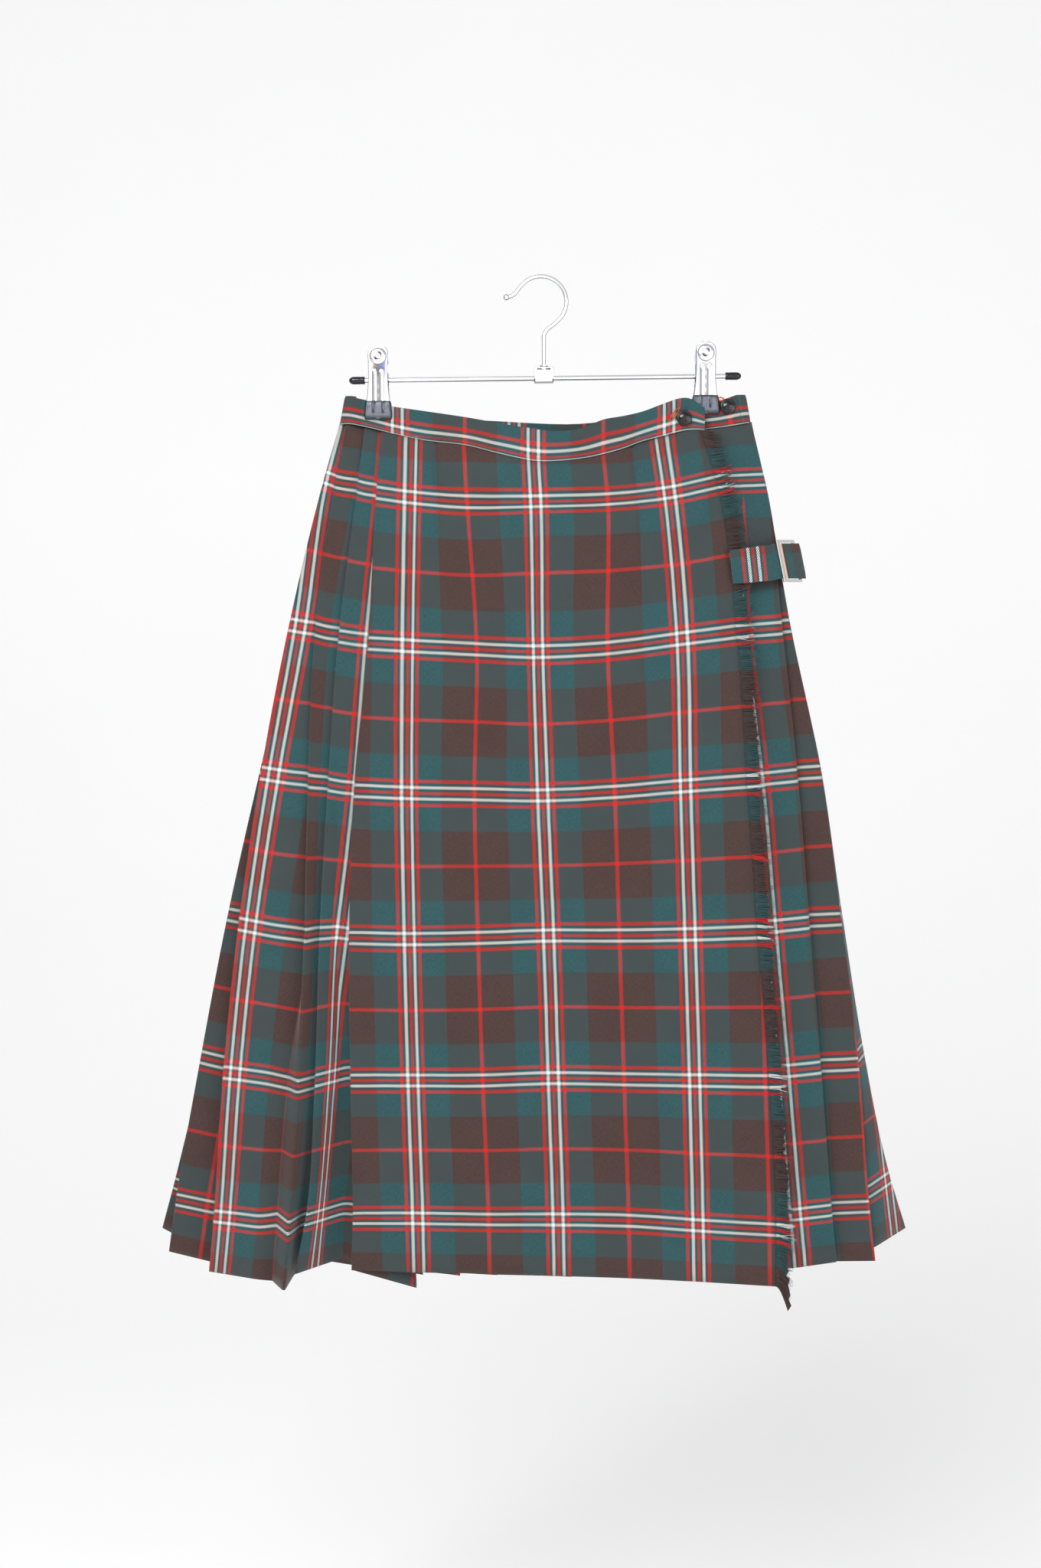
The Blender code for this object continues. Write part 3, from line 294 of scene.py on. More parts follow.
BAND_UNDER = (
    (171, -99, -2.4, -2.1), (153, -103.5, -1.5, -2), (140, -105.5, -1.5, -2),
    (127, -107, -1.5, -3), (116, -108.5, -3.2, -4.8), (105, -110, -5, -6.5), (87, -114, -8, -9),
    (53, -122, -13, -13.5), (22, -129, -15.5, -16), (-35, -124, -11.5, -12), (-96, -114, -2, -5),
)
# The front stretch's turned end is behind this depth, and is passed over by adding this distance.
BAND_TURN = 5.0
BAND_FAR = 20.0
# Which way the pattern runs on each stretch, where it lies, and its place there.
BAND_PATTERN = {"waistband_over": (BAND_FRONT, 1, -6.8, 0.0), "waistband_back": (BAND_BACK, -1, -20.0, 0.0),
                "waistband_under": (BAND_UNDER, 1, 160.0, 60.0)}
# How the pattern lies down the band: millimetres below its top, and place across the weft.
BAND_DOWN = ((0.0, 11.7, 17.5, 23.2, 24.8, 25.8), (-20.2, -9.8, -4.6, 0.0, 3.1, 4.4))

# The fringe: how many threads, how far they reach and hang, and how much more at the hem and waist.
THREADS = 1150
THREAD_REACH = 14.6
THREAD_HANG = (-3.5, -3.5, -1, 0, 1.5, 1, 3, 6)
THREAD_FALL = 15.0
THREAD_FALL_FROM = 0.94
THREAD_TOP = 5.0
THREAD_RADIUS = 0.36
THREAD_STEPS = 5
THREAD_SIDES = 4
# Threads hang together in locks: how many, and how far one leans up or down and stands out.
TUFT = 7
TUFT_LEAN = 2.6
# The matted yarn behind the threads: its rows, its columns, and its reach as a share of theirs.
MAT_ROWS = 260
MAT_COLUMNS = (0.0, 0.35, 0.7, 1.0)
MAT_REACH = (0.64, 0.10, 0.08)
# The place across the warp, in metres, of the plain weft yarn that the fringe is frayed into.
FRAYED = 0.2

# The hip strap: its thickness and width, and its rows: across, down at the top and the bottom, out.
STRAP_THICK = 2.0
STRAP_ROWS = 7
STRAP = ((159.6, -231, -259.3, -22.0), (171, -229.5, -258.7, -21.4), (184, -227.5, -257.3, -18.8),
         (193.5, -226.5, -256.5, -15.8))
STRAP_LEAN = 0.11
# The slide buckle: across and out of its ends, its lean, its top and bottom, the width of its bars,
# its thickness, the strap's clearance, and where its inner bar lies along it.
BUCKLE_LEFT = (199.6, -13.5)
BUCKLE_RIGHT = (215.0, -1.8)
BUCKLE_LEAN = 0.2
BUCKLE_DOWN = (-222.0, -258.0)
BUCKLE_BAR = 2.4
BUCKLE_THICK = 1.6
BUCKLE_CLEAR = 0.7
BUCKLE_CROSS = 0.205
# The strap's end and the tab's loop along the buckle, with the side of it that each lies on, and the
# rest of the tab, across and out.
STRAP_END = (-0.02, 0.2)
TAB_LOOP = ((0.27, 1), (1.04, 1), (1.18, 0.38), (1.12, -1))
TAB = ((213.0, 5.0), (208.5, 8.5), (204.0, 12.6), (194.0, 14.4))
# The strips' pattern: the place along the cloth at their start, and down it at top and bottom.
STRIP_PATTERN = {"strap": (-19.5, -37.0, -12.0), "strap_tab": (24.0, -38.0, -12.0)}

# Buttons: across, down and out.
BUTTONS = {"button_over": (122, -118.6, -11.9), "button_under": (159, -109, -3.5)}
BUTTON_RADIUS = 6.5
# A button's section: share of its radius, and height.
BUTTON_PROFILE = (
    (0, 0), (0.8, 0), (0.95, 0.25), (1.0, 0.8), (1.0, 1.7), (0.97, 2.1), (0.9, 2.4), (0.84, 2.35),
    (0.79, 2.1), (0.75, 1.95), (0.7, 2.1), (0.6, 2.45), (0.42, 2.85), (0.2, 3.1), (0, 3.18),
)
# Worked buttonholes: across, down, out, tilt in degrees, and length.
BUTTONHOLES = {"buttonhole_over": (113.8, -115.6, -12.4, 55.0, 13.5),
               "buttonhole_under": (153.4, -102.6, -3.3, -12.0, 5.0)}
STITCHES = 44

# The hanger's bar, its tips, the hook and the bracket.
BAR_ENDS = ((-160.0, -86.9), (168.0, -83.0))
BAR_RADIUS = 2.0
TIP_RADIUS = 3.25
TIP_LENGTH = 13.5
HOOK_WIRE = 1.7
HOOK_CENTRE = (0.5, -19.9)
HOOK_RADIUS = 21.6
HOOK_TIP = ((-26.8, -15.7), (-24.6, -15.0), (-21.4, -12.8), (-19.0, -9.6))
HOOK_NECK = ((18.0, -32.6), (12.0, -38.6), (5.6, -43.6), (2.9, -48.8), (2.9, -54.0), (2.9, -75.2))
HOOK_BALL = 2.6
BRACKET_X = (-5.4, 11.2)
BRACKET_TOP = -75.6
BRACKET_SHEET = 1.3
BRACKET_DEPTH = 8.0
# The clips: across at the middle, and down at the top, at the jaws' top and at their bottom.
CLIPS = {"clip_left": (-137.5, -58.0, -105.0, -120.5), "clip_right": (140.0, -55.0, -100.0, -116.0)}
# A leaf: its sheet and its rows, which are the share of its height, half its width and how far out.
LEAF_SHEET = 0.9
LEAF_ROWS = ((0.0, 3.6, 7.6), (0.05, 6.4, 7.9), (0.14, 8.4, 7.9), (0.3, 8.4, 7.3), (0.55, 8.3, 6.3),
             (0.8, 8.9, 5.1), (1.0, 10.0, 4.2))
# The share of a leaf that its rounded head takes, half its width there, and how far it is bowed.
LEAF_HEAD = 0.14
LEAF_HALF = 8.4
LEAF_BOW = 0.5
LEAF_STEPS = 42
LEAF_REACH = 47.0
# Its ribs: across to their middle, half their width, their height and the share where they start.
RIB_MIDDLE = 2.9
RIB_HALF = 2.0
RIB_HEIGHT = 0.7
RIB_FROM = 0.45
# Half the width of the web between the ribs, which painted reflection darkens.
WEB_HALF = 1.0
# The jaw's sleeve: share of its height, half its width, and how full it is.
JAW_ROWS = ((0, 10.6, 0.75), (0.15, 10.9, 1), (0.8, 12, 1), (1, 11.1, 0.6))
JAW_THICK = 2.3
JAW_GRIP = 3.35
JAW_STEPS = 28
JAW_RIB = 4.0
JAW_COLOURS = ((0.05, 0.058, 0.078), (0.22, 0.24, 0.29))
# The plating: its roughness, the scale of its clouding, and how dark its painted reflection is on flanks and
# marked places.
PLATING_ROUGH = 0.12
PLATING_CLOUDS = 160.0
PLATING_PAINTED_DARK = 0.09
SLEEVE_CLOUDS = 420.0
# The spring's coil: outer radius, half its length, turns, and points on a turn.
COIL_RADIUS = 4.2
COIL_HALF = 6.5
COIL_TURNS = 5
COIL_STEPS = 14
# The disc pressed into a leaf, its dimple's wall, where painted reflection darkens it in patches, and how
# far below the leaf's top it lies.
DISC_RADIUS = 7.2
DISC_DOWN = 9.5
DISC_WALL = 3.1
DISC_PROFILE = ((0, 0.4), (1.4, 0.34), (2.2, 0.45), (2.8, 0.95), (3.6, 1.3), (4.4, 1.35), (5.6, 1.15),
                (6.6, 0.7), (DISC_RADIUS, 0), (0, 0))

# The lights, in metres: where each stands, what it is aimed at, and its side.
LIGHTS = {
    "key": ((-0.9, -2.7, 1.1), (0, 0, -0.45), 1.6),
    "fill": ((1.9, -2.2, -0.1), (0, 0, -0.45), 1.8),
    "window": ((-0.9, -1.7, 0.7), (0, 0, -0.3), 0.3),
}
# Cards outside the view, for the plating to reflect: middle, half side, colour and glow.
CARDS = {
    "card_blue": ((-0.09, -1.1, 0.0), 0.08, (0.14, 0.30, 0.95), 0.0),
    "card_sand": ((-0.26, -1.1, -0.03), 0.09, (0.40, 0.34, 0.26), 0.0),
    "card_white": ((0.0, -3.0, 0.3), 1.3, (1.0, 1.0, 1.0), 0.35),
}
# The sweep, in metres: its floor, its bend's start and radius, and its ends.
SWEEP_FLOOR = -1.3
SWEEP_BEND = 1.6
SWEEP_FRONT = -5.0
SWEEP_TOP = 5.0
SWEEP_HALF = 6.0


class KiltTartan(bpy.types.PropertyGroup):
    """The tartan's yarns and weave."""

    green: bpy.props.FloatVectorProperty(
        name="Green", description="Blue-green yarn", subtype="COLOR", default=(0.019, 0.066, 0.072))
    brown: bpy.props.FloatVectorProperty(
        name="Brown", description="Brown yarn", subtype="COLOR", default=(0.052, 0.029, 0.025))
    red: bpy.props.FloatVectorProperty(
        name="Red", description="Scarlet yarn", subtype="COLOR", default=(0.52, 0.011, 0.008))
    white: bpy.props.FloatVectorProperty(
        name="White", description="Off-white yarn", subtype="COLOR", default=(0.68, 0.70, 0.66))
    twill: bpy.props.FloatProperty(
        name="Twill", description="Width of one diagonal of the twill", default=1.75 * MM, unit="LENGTH")


class KiltCloth(bpy.types.PropertyGroup):
    """The cloth's body and how finely it is built."""

    thickness: bpy.props.FloatProperty(
        name="Thickness", description="Thickness of the cloth", default=0.9 * MM, unit="LENGTH")
    rows: bpy.props.IntProperty(name="Rows", description="Rows of faces down the skirt", default=88, min=8)


class KiltHanger(bpy.types.PropertyGroup):
    """The hanger's finish."""

    steel: bpy.props.FloatVectorProperty(
        name="Steel", description="Bright plated steel", subtype="COLOR", default=(0.90, 0.90, 0.92))
    vinyl: bpy.props.FloatVectorProperty(
        name="Vinyl", description="Soft black vinyl", subtype="COLOR", default=(0.004, 0.004, 0.006))


class KiltStage(bpy.types.PropertyGroup):
    """The light and the backdrop."""

    key: bpy.props.FloatProperty(
        name="Key", description="Power of the main light", default=58.0, unit="POWER")
    fill: bpy.props.FloatProperty(
        name="Fill", description="Power of the second light", default=21.0, unit="POWER")
    window: bpy.props.FloatProperty(
        name="Window", description="Power of the small light that gleams", default=7.0, unit="POWER")
    sky: bpy.props.FloatProperty(name="Sky", description="Strength of the light all round", default=0.62)
    glow: bpy.props.FloatProperty(
        name="Glow", description="Light that the backdrop gives off", default=0.09)


def sight(x, z, y):
    """The place, in millimetres, of a point that the front view shows at x and z, out at y."""
    scale = 1 + y / EYE_DISTANCE
    return (EYE[0] + (x - EYE[0]) * scale, y, EYE[1] + (z - EYE[1]) * scale)


def smooth(stations, values, at):
    """Reads a smooth curve through values at stations; values may hold a whole row each."""
    stations = np.asarray(stations, float)
    values = np.asarray(values, float)
    slopes = np.gradient(values, stations, axis=0)
    i = int(np.clip(np.searchsorted(stations, at) - 1, 0, len(stations) - 2))
    width = stations[i + 1] - stations[i]
    t = (at - stations[i]) / width
    return ((2 * t**3 - 3 * t**2 + 1) * values[i] + (t**3 - 2 * t**2 + t) * width * slopes[i]
            + (3 * t**2 - 2 * t**3) * values[i + 1] + (t**3 - t**2) * width * slopes[i + 1])


def line(row, down):
    """Across, down and out of one line of the cloth at a distance down it."""
    return np.array([smooth(LEVELS, column, down) for column in row[:3]])


def along(row, down):
    """The place along the cloth of a line that states one."""
    return float(smooth(LEVELS, row[3], down))


def walked_along(path):
    """How far along a path each of its points lies."""
    return np.concatenate([[0.0], np.cumsum(np.linalg.norm(np.diff(path, axis=0), axis=1))])


def swell(share):
    """A soft bump that is 1 at 0 and dies away at 1."""
    return np.maximum(0.0, 1 - share * share) ** 2


def fold_depth(folds, x, down):
    """How far a set of soft folds moves the cloth at x and a distance down."""
    depth = 0.0
    for top, bottom, x_top, x_bottom, half, out in folds:
        if top <= down <= bottom:
            share = (down - top) / (bottom - top)
            centre = x_top + (x_bottom - x_top) * share
            fade = min(1.0, share * 4) if bottom == LEVELS[-1] else math.sin(math.pi * share)
            depth += out * fade * swell((x - centre) / half)
    return depth


def crease_depth(creases, x, z):
    """How far the creases of a pleated wall move points at x and z."""
    depth = np.zeros_like(x)
    for x0, z0, x1, z1, half, out in creases:
        length = np.hypot(x1 - x0, z1 - z0)
        run = ((x - x0) * (x1 - x0) + (z - z0) * (z1 - z0)) / length**2
        across = ((x - x0) * (z1 - z0) - (z - z0) * (x1 - x0)) / length
        depth += out * swell(across / half) * swell(2 * run - 1)
    return depth


def apron_point(place, down):
    """A point of the over apron: place counts its stripes, 0 at the fold and 6 at the edge."""
    rows = np.array([line(row, down) for row in APRON.values()])
    x, z, y = smooth(range(len(rows)), rows, place)
    y += fold_depth(APRON_FOLDS, x, down) + fold_depth(APRON_CREASES, x, down)
    for stripe, (between, _) in DARTS.items():
        pinch = swell((place - stripe - between) / (2 * DART_HALF)) * max(0.0, 1 - down / DART_LENGTH)
        y += DART_DEPTH * min(1.0, 2 * pinch)
    return x, z, y


def apron_along(place, down):
    """The places along the cloth just past and just before a point of the over apron."""
    rows = list(APRON.values())
    stripe = min(int(place), len(rows) - 2)
    share = place - stripe
    first, last = along(rows[stripe], down), along(rows[stripe + 1], down)
    between, taken = DARTS.get(stripe, (0.5, 0.0))
    taken *= max(0.0, 1 - down / DART_LENGTH)
    scale = last - first - taken
    right, left = last - (1 - share) * scale, first + share * scale
    if share < between - 1e-6:
        return left, left
    return (right, left) if share < between + 1e-6 else (right, right)


def tucked(name, down, rows, tucks):
    """The hidden fold that lies behind a folded edge."""
    x, z, _ = line(rows[name], down)
    across, out, rise = (smooth(LEVELS, row, down) for row in tucks[name])
    return np.array([x + across, z + rise, out])


def apron_columns():
    """The places across the over apron that have a column of points, closer at the darts."""
    places = set(np.linspace(0, 6, 6 * APRON_STEPS + 1).round(4))
    for stripe, (between, _) in DARTS.items():
        places |= {stripe + between + move * DART_HALF for move in (-2, -1, 0, 1, 2)}
    return sorted(places)


def apron_points(down):
    """From the fringed edge to the folded edge, and back behind it to the first hidden fold."""
    points = [(apron_point(place, down), PLAIN, apron_along(place, down))
              for place in apron_columns()[::-1]]
    (x, z, y), _, (place, _) = points.pop()
    points.append(((x, z, y + FOLD / 2), FOLDED, (place, place)))
    turn = tucked("fold", down, APRON, LEFT_TUCKS)
    points.append((turn, PARTED, None))
    return points


def folded(rows, name, down):
    """A folded edge, with its place along the cloth."""
    place = along(rows[name], down)
    return line(rows[name], down) + (0, 0, FOLD / 2), FOLDED, (place, place)


def dent(down):
    """The hollow down the face of the front left pleat."""
    face, fold = line(LEFT["face_3"], down), line(LEFT["pleat_3"], down)
    across, deep, taken = (smooth(LEVELS, row, down) for row in DENT)
    spot = fold + (face - fold) * across + (0, 0, deep)
    place = along(LEFT["pleat_3"], down) + np.linalg.norm(spot - fold) + taken
    return spot, PLAIN, (place, place)


def left_points(down):
    """Round the left side's pleats to its corner with the back."""
    points = []
    for fold, face in LEFT_PLEATS.items():
        if face:
            points.append((line(LEFT[face], down), PLAIN, None))
        if fold == "pleat_3":
            points.append(dent(down))
        points.append(folded(LEFT, fold, down))
        points.append((tucked(fold, down, LEFT, LEFT_TUCKS), PARTED if fold == "pleat_0" else TUCKED, None))
    corner = line(LEFT["corner"], down)
    points += [(corner + move, PLAIN, None) for move in LEFT_TURN]
    return points


def back_line(share, down):
    """The outside of the back, from the left corner at 0 to the right corner at 1."""
    left = line(LEFT["corner"], down)
    right = line(RIGHT["corner"], down)
    x, z, y = left + (right - left) * share
    from_middle = abs(2 * share - 1)
    waist, hem = BACK_FLATNESS
    edge = (left[1] + right[1]) / 2
    flatness = waist + (hem - waist) * down / LEVELS[-1]
    hang = (smooth(LEVELS, BACK_DOWN, down) - edge) * (1 - from_middle**flatness)
    bow = BACK_START + smooth(LEVELS, BACK_BOW, down) * (1 - from_middle**waist)
    return np.array([x, z + hang, y + bow])


def back_points(down):
    """Round the back's pleats, up to the right corner."""
    points = []
    width = line(RIGHT["corner"], down)[0] - line(LEFT["corner"], down)[0]
    for index in range(1, BACK_PLEATS):
        outer = back_line(index / BACK_PLEATS, down)
        outer[1] -= smooth(LEVELS, BACK_SAG, down) * (1 + math.sin(BACK_PLEATS * index)) / 2
        tuck = smooth(LEVELS, BACK_TUCK, down) * min(1.0, NEAR_TUCK * index)
        inner = back_line(index / BACK_PLEATS - tuck / width, down)
        first, more = NEAR_STAND
        inner[2] -= smooth(LEVELS, BACK_STAND, down) * min(1.0, first + more * index)
        parted = index in (BACK_PLEATS // 2, BACK_PLEATS - 1)
        place = BACK_FIRST - BACK_REPEAT * index
        points.append((outer + (0, 0, -FOLD / 2), FOLDED, (place, place)))
        points.append((inner, PARTED if parted else TUCKED, None))
    return points


def right_points(down):
    """Round the right side's pleats to the edge under the fringe."""
    corner = line(RIGHT["corner"], down)
    points = [(corner + move, PLAIN, None) for move in RIGHT_TURN]
    place = along(RIGHT["face_3"], down)
    points.append((line(RIGHT["face_3"], down), PLAIN, (place, place)))
    for fold in ("pleat_2", "pleat_1"):
        points.append((tucked(fold, down, RIGHT, RIGHT_TUCKS), TUCKED, None))
        points.append(folded(RIGHT, fold, down))
    fold, face = line(RIGHT["pleat_1"], down), line(RIGHT["face_1"], down)
    stations, places, takes = WAIST_TUCK
    start, length = along(RIGHT["pleat_1"], down), np.linalg.norm(face - fold)
    share = min((start - np.interp(down, stations, places)) / length, TUCK_MOST)
    place = start - share * length
    points.append((fold + (face - fold) * share, PLAIN, (place, place + np.interp(down, stations, takes))))
    points.append((face, PLAIN, None))
    points.append((line(RIGHT["edge"], down), JOINED, None))
    return points


def under_points(down):
    """The under apron, from the right side's pleats to its free edge on the left."""
    rows = np.array([line(RIGHT["edge"], down), line(UNDER_APRON["middle"], down),
                     line(UNDER_APRON["left"], down)])
    return [(smooth((0, 1, 2), rows, at), PLAIN, None) for at in np.linspace(0, 2, UNDER_COLUMNS)[1:]]


def cloth_walls(down):
    """The cloth at a distance down it: for each wall its places, roundings and places along."""
    points = apron_points(down) + left_points(down) + back_points(down) + right_points(down)
    points += under_points(down)
    places = [np.array(sight(*point[0])) for point in points]
    walls = [[]]
    run = 0
    for i, (_, kind, place) in enumerate(points):
        here = places[i]
        if kind == PLAIN:
            rounding = 0.0 if i < len(apron_columns()) else 5.0
            walls[-1].append((here, rounding, place, run))
            continue
        before = (places[i - 1] - here) * (1, 1, 0)
        after = (places[i + 1] - here) * (1, 1, 0)
        before /= np.linalg.norm(before)
        after /= np.linalg.norm(after)
        if kind == JOINED:
            walls[-1].append((here, 0.0, place, run))
            walls.append([(here + after * SEAM, 0.0, place, run)])
            continue
        side = (before - after) / np.linalg.norm(before - after) * FOLD / 2
        walls[-1].append((here + side, 0.7, place, run))
        if kind == PARTED:
            walls.append([])
        if kind != FOLDED:
            run += 1
        walls[-1].append((here - side, 0.7, place, run))
    return [measured(wall) for wall in walls]


def measured(wall):
    """Gives each point of a wall its place along the cloth, counted from the nearest known one."""
    spots = np.array([spot for spot, _, _, _ in wall])
    walked = walked_along(spots)
    known = [(i, place, run) for i, (_, _, place, run) in enumerate(wall) if place is not None]
    places = []
    for i, (_, _, place, run) in enumerate(wall):
        if place is None:
            same = [entry for entry in known if entry[2] == run] or [(0, (0.0, 0.0), run)]
            near = min(same, key=lambda entry: abs(entry[0] - i))
            place = (near[1][int(i > near[0])] - walked[i] + walked[near[0]],) * 2
        places.append(place)
    return spots, np.array([rounding for _, rounding, _, _ in wall]), np.array(places)


def leg_counts(sections):
    """How many steps each leg of a wall takes, the same in every section."""
    longest = np.zeros(len(sections[0][0]) - 1)
    for spots, _, _ in sections:
        longest = np.maximum(longest, np.linalg.norm(np.diff(spots, axis=0), axis=1))
    return [1 if length < LEG_SHORT else int(np.ceil(length / LEG)) for length in longest]


def softened(spots, roundings, places, counts):
    """Rounds a wall's corners and parts its legs: places, and places along before and after."""
    last = len(spots) - 1
    made, before, after = [spots[0]], [places[0][0]], [places[0][1]]
    start, start_place = spots[0], places[0][1]
    for i in range(1, last + 1):
        leg = spots[i] - spots[i - 1]
        length = np.linalg.norm(leg)
        reach = 0.0
        if 0 < i < last and roundings[i]:
            nxt = np.linalg.norm(spots[i + 1] - spots[i])
            reach = min(roundings[i], 0.42 * length, 0.42 * nxt)
        stop = spots[i] - leg / length * reach
        stop_place = places[i][0] + (places[i - 1][1] - places[i][0]) * reach / length
        for step in range(1, counts[i - 1] + 1):
            share = step / counts[i - 1]
            made.append(start + (stop - start) * share)
            before.append(start_place + (stop_place - start_place) * share)
            after.append(before[-1])
        if reach:
            onward = spots[i + 1] - spots[i]
            leave = spots[i] + onward / np.linalg.norm(onward) * reach
            leave_place = places[i][1] + (places[i + 1][0] - places[i][1]) * reach / np.linalg.norm(onward)
            for share in (0.33, 0.67):
                bend = stop * (1 - share)**2 + spots[i] * 2 * share * (1 - share) + leave * share**2
                made.append(bend)
                before.append(stop_place + (leave_place - stop_place) * share)
                after.append(before[-1])
            made.append(leave)
            before.append(leave_place)
            after.append(leave_place)
            start, start_place = leave, leave_place
        else:
            after[-1] = places[i][1]
            start, start_place = spots[i], places[i][1]
    return np.array(made), np.array(before), np.array(after)


def cloth_down(x, down):
    """The place down the cloth of a point at x: the seam cuts lower at the middle of the apron."""
    dip, centre, half = SEAM_DIP
    if down >= FIRST_GROUP:
        return np.full_like(x, down)
    cut = dip * swell((x - centre) / half)
    return FIRST_GROUP - (FIRST_GROUP - down) * (FIRST_GROUP - cut) / FIRST_GROUP


def placed(name, data, material):
    """Puts a mesh or a curve into the scene, in its first material."""
    obj = bpy.data.objects.new(name, data)
    bpy.context.scene.collection.objects.link(obj)
    data.materials.append(material)
    return obj


def grid_object(name, rows, u_before, u_after, v, material, closed=False):
    """A mesh through rows of places in millimetres, with its texture map in metres of cloth."""
    rows = np.array(rows)
    count, width = rows.shape[:2]
    faces = []
    maps = []
    for i in range(count if closed else count - 1):
        j = (i + 1) % count
        for k in range(width - 1):
            faces.append((i * width + k, i * width + k + 1, j * width + k + 1, j * width + k))
            maps += [(u_after[i][k], v[i][k]), (u_before[i][k + 1], v[i][k + 1]),
                     (u_before[j][k + 1], v[j][k + 1]), (u_after[j][k], v[j][k])]
    mesh = bpy.data.meshes.new(name)
    mesh.from_pydata((rows.reshape(-1, 3) * MM).tolist(), [], faces)
    layer = mesh.uv_layers.new(name="cloth")
    layer.data.foreach_set("uv", (np.array(maps) * MM).astype(np.float32).ravel())
    mesh.shade_smooth()
    return placed(name, mesh, material)


def settle(obj, *nodes, slot):
    """Lets a piece ride on the model, in place of its CAD nodes if it has any."""
    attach(obj, BODY)
    if nodes:
        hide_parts(*nodes)


def new_material(name, roughness, metallic=0.0):
    """A node material with its Principled shader, ready to be wired."""
    material = bpy.data.materials.new(name)
    material.use_nodes = True
    shader = material.node_tree.nodes["Principled BSDF"]
    shader.inputs["Roughness"].default_value = roughness
    shader.inputs["Metallic"].default_value = metallic
    return material, material.node_tree, shader


def node(tree, kind, **settings):
    """Adds a node and sets its options."""
    made = tree.nodes.new(kind)
    for key, value in settings.items():
        setattr(made, key, value)
    return made


def math_node(tree, operation, first, second=0.0, third=0.0, clamp=False):
    """A Math node whose inputs are sockets or numbers."""
    made = node(tree, "ShaderNodeMath", operation=operation, use_clamp=clamp)
    for socket, value in zip(made.inputs, (first, second, third)):
        if isinstance(value, (int, float)):
            socket.default_value = value
        else:
            tree.links.new(value, socket)
    return made.outputs[0]


def mix_colours(tree, kind, share, first, second):
    """A Mix node for colours; share and colours are sockets or values."""
    made = node(tree, "ShaderNodeMix", data_type="RGBA", blend_type=kind)
    for socket, value in zip((made.inputs[0], made.inputs[6], made.inputs[7]), (share, first, second)):
        if isinstance(value, (int, float)):
            socket.default_value = value
        elif isinstance(value, tuple):
            socket.default_value = (*value, 1)
        else:
            tree.links.new(value, socket)
    return made.outputs[2]


def noise_at(tree, vector, scale, detail=2.0):
    """The value of a noise texture."""
    made = node(tree, "ShaderNodeTexNoise")
    made.inputs["Scale"].default_value = scale
    made.inputs["Detail"].default_value = detail
    tree.links.new(vector, made.inputs["Vector"])
    return made.outputs[0]


# The stripes from the middle of a group outwards: how far each reaches, and its yarn.
WARP = ((1.05, "red"), (3.0, "green"), (5.45, "white"), (7.6, "green"), (10.4, "red"), (31.0, "green"),
        (58.3, "brown"), (60.0, "red"))
WEFT = ((1.1, "red"), (3.3, "green"), (5.85, "white"), (8.4, "green"), (11.2, "red"), (31.0, "green"),
        (58.4, "brown"), (60.0, "red"))


def stripes(tree, place, table, tartan):
    """The yarn colour at a place, counted from the middle of a group of stripes."""
    folded_place = math_node(tree, "PINGPONG", place, SETT / 2)
    ramp = node(tree, "ShaderNodeValToRGB")
    ramp.color_ramp.interpolation = "CONSTANT"
    tree.links.new(math_node(tree, "DIVIDE", folded_place, SETT / 2), ramp.inputs[0])
    elements = ramp.color_ramp.elements
    start = 0.0
    for i, (reach, yarn) in enumerate(table):
        element = elements[i] if i < 2 else elements.new(start / (SETT / 2))
        element.position = start / (SETT / 2)
        element.color = (*getattr(tartan, yarn), 1)
        start = reach
    return ramp.outputs[0]


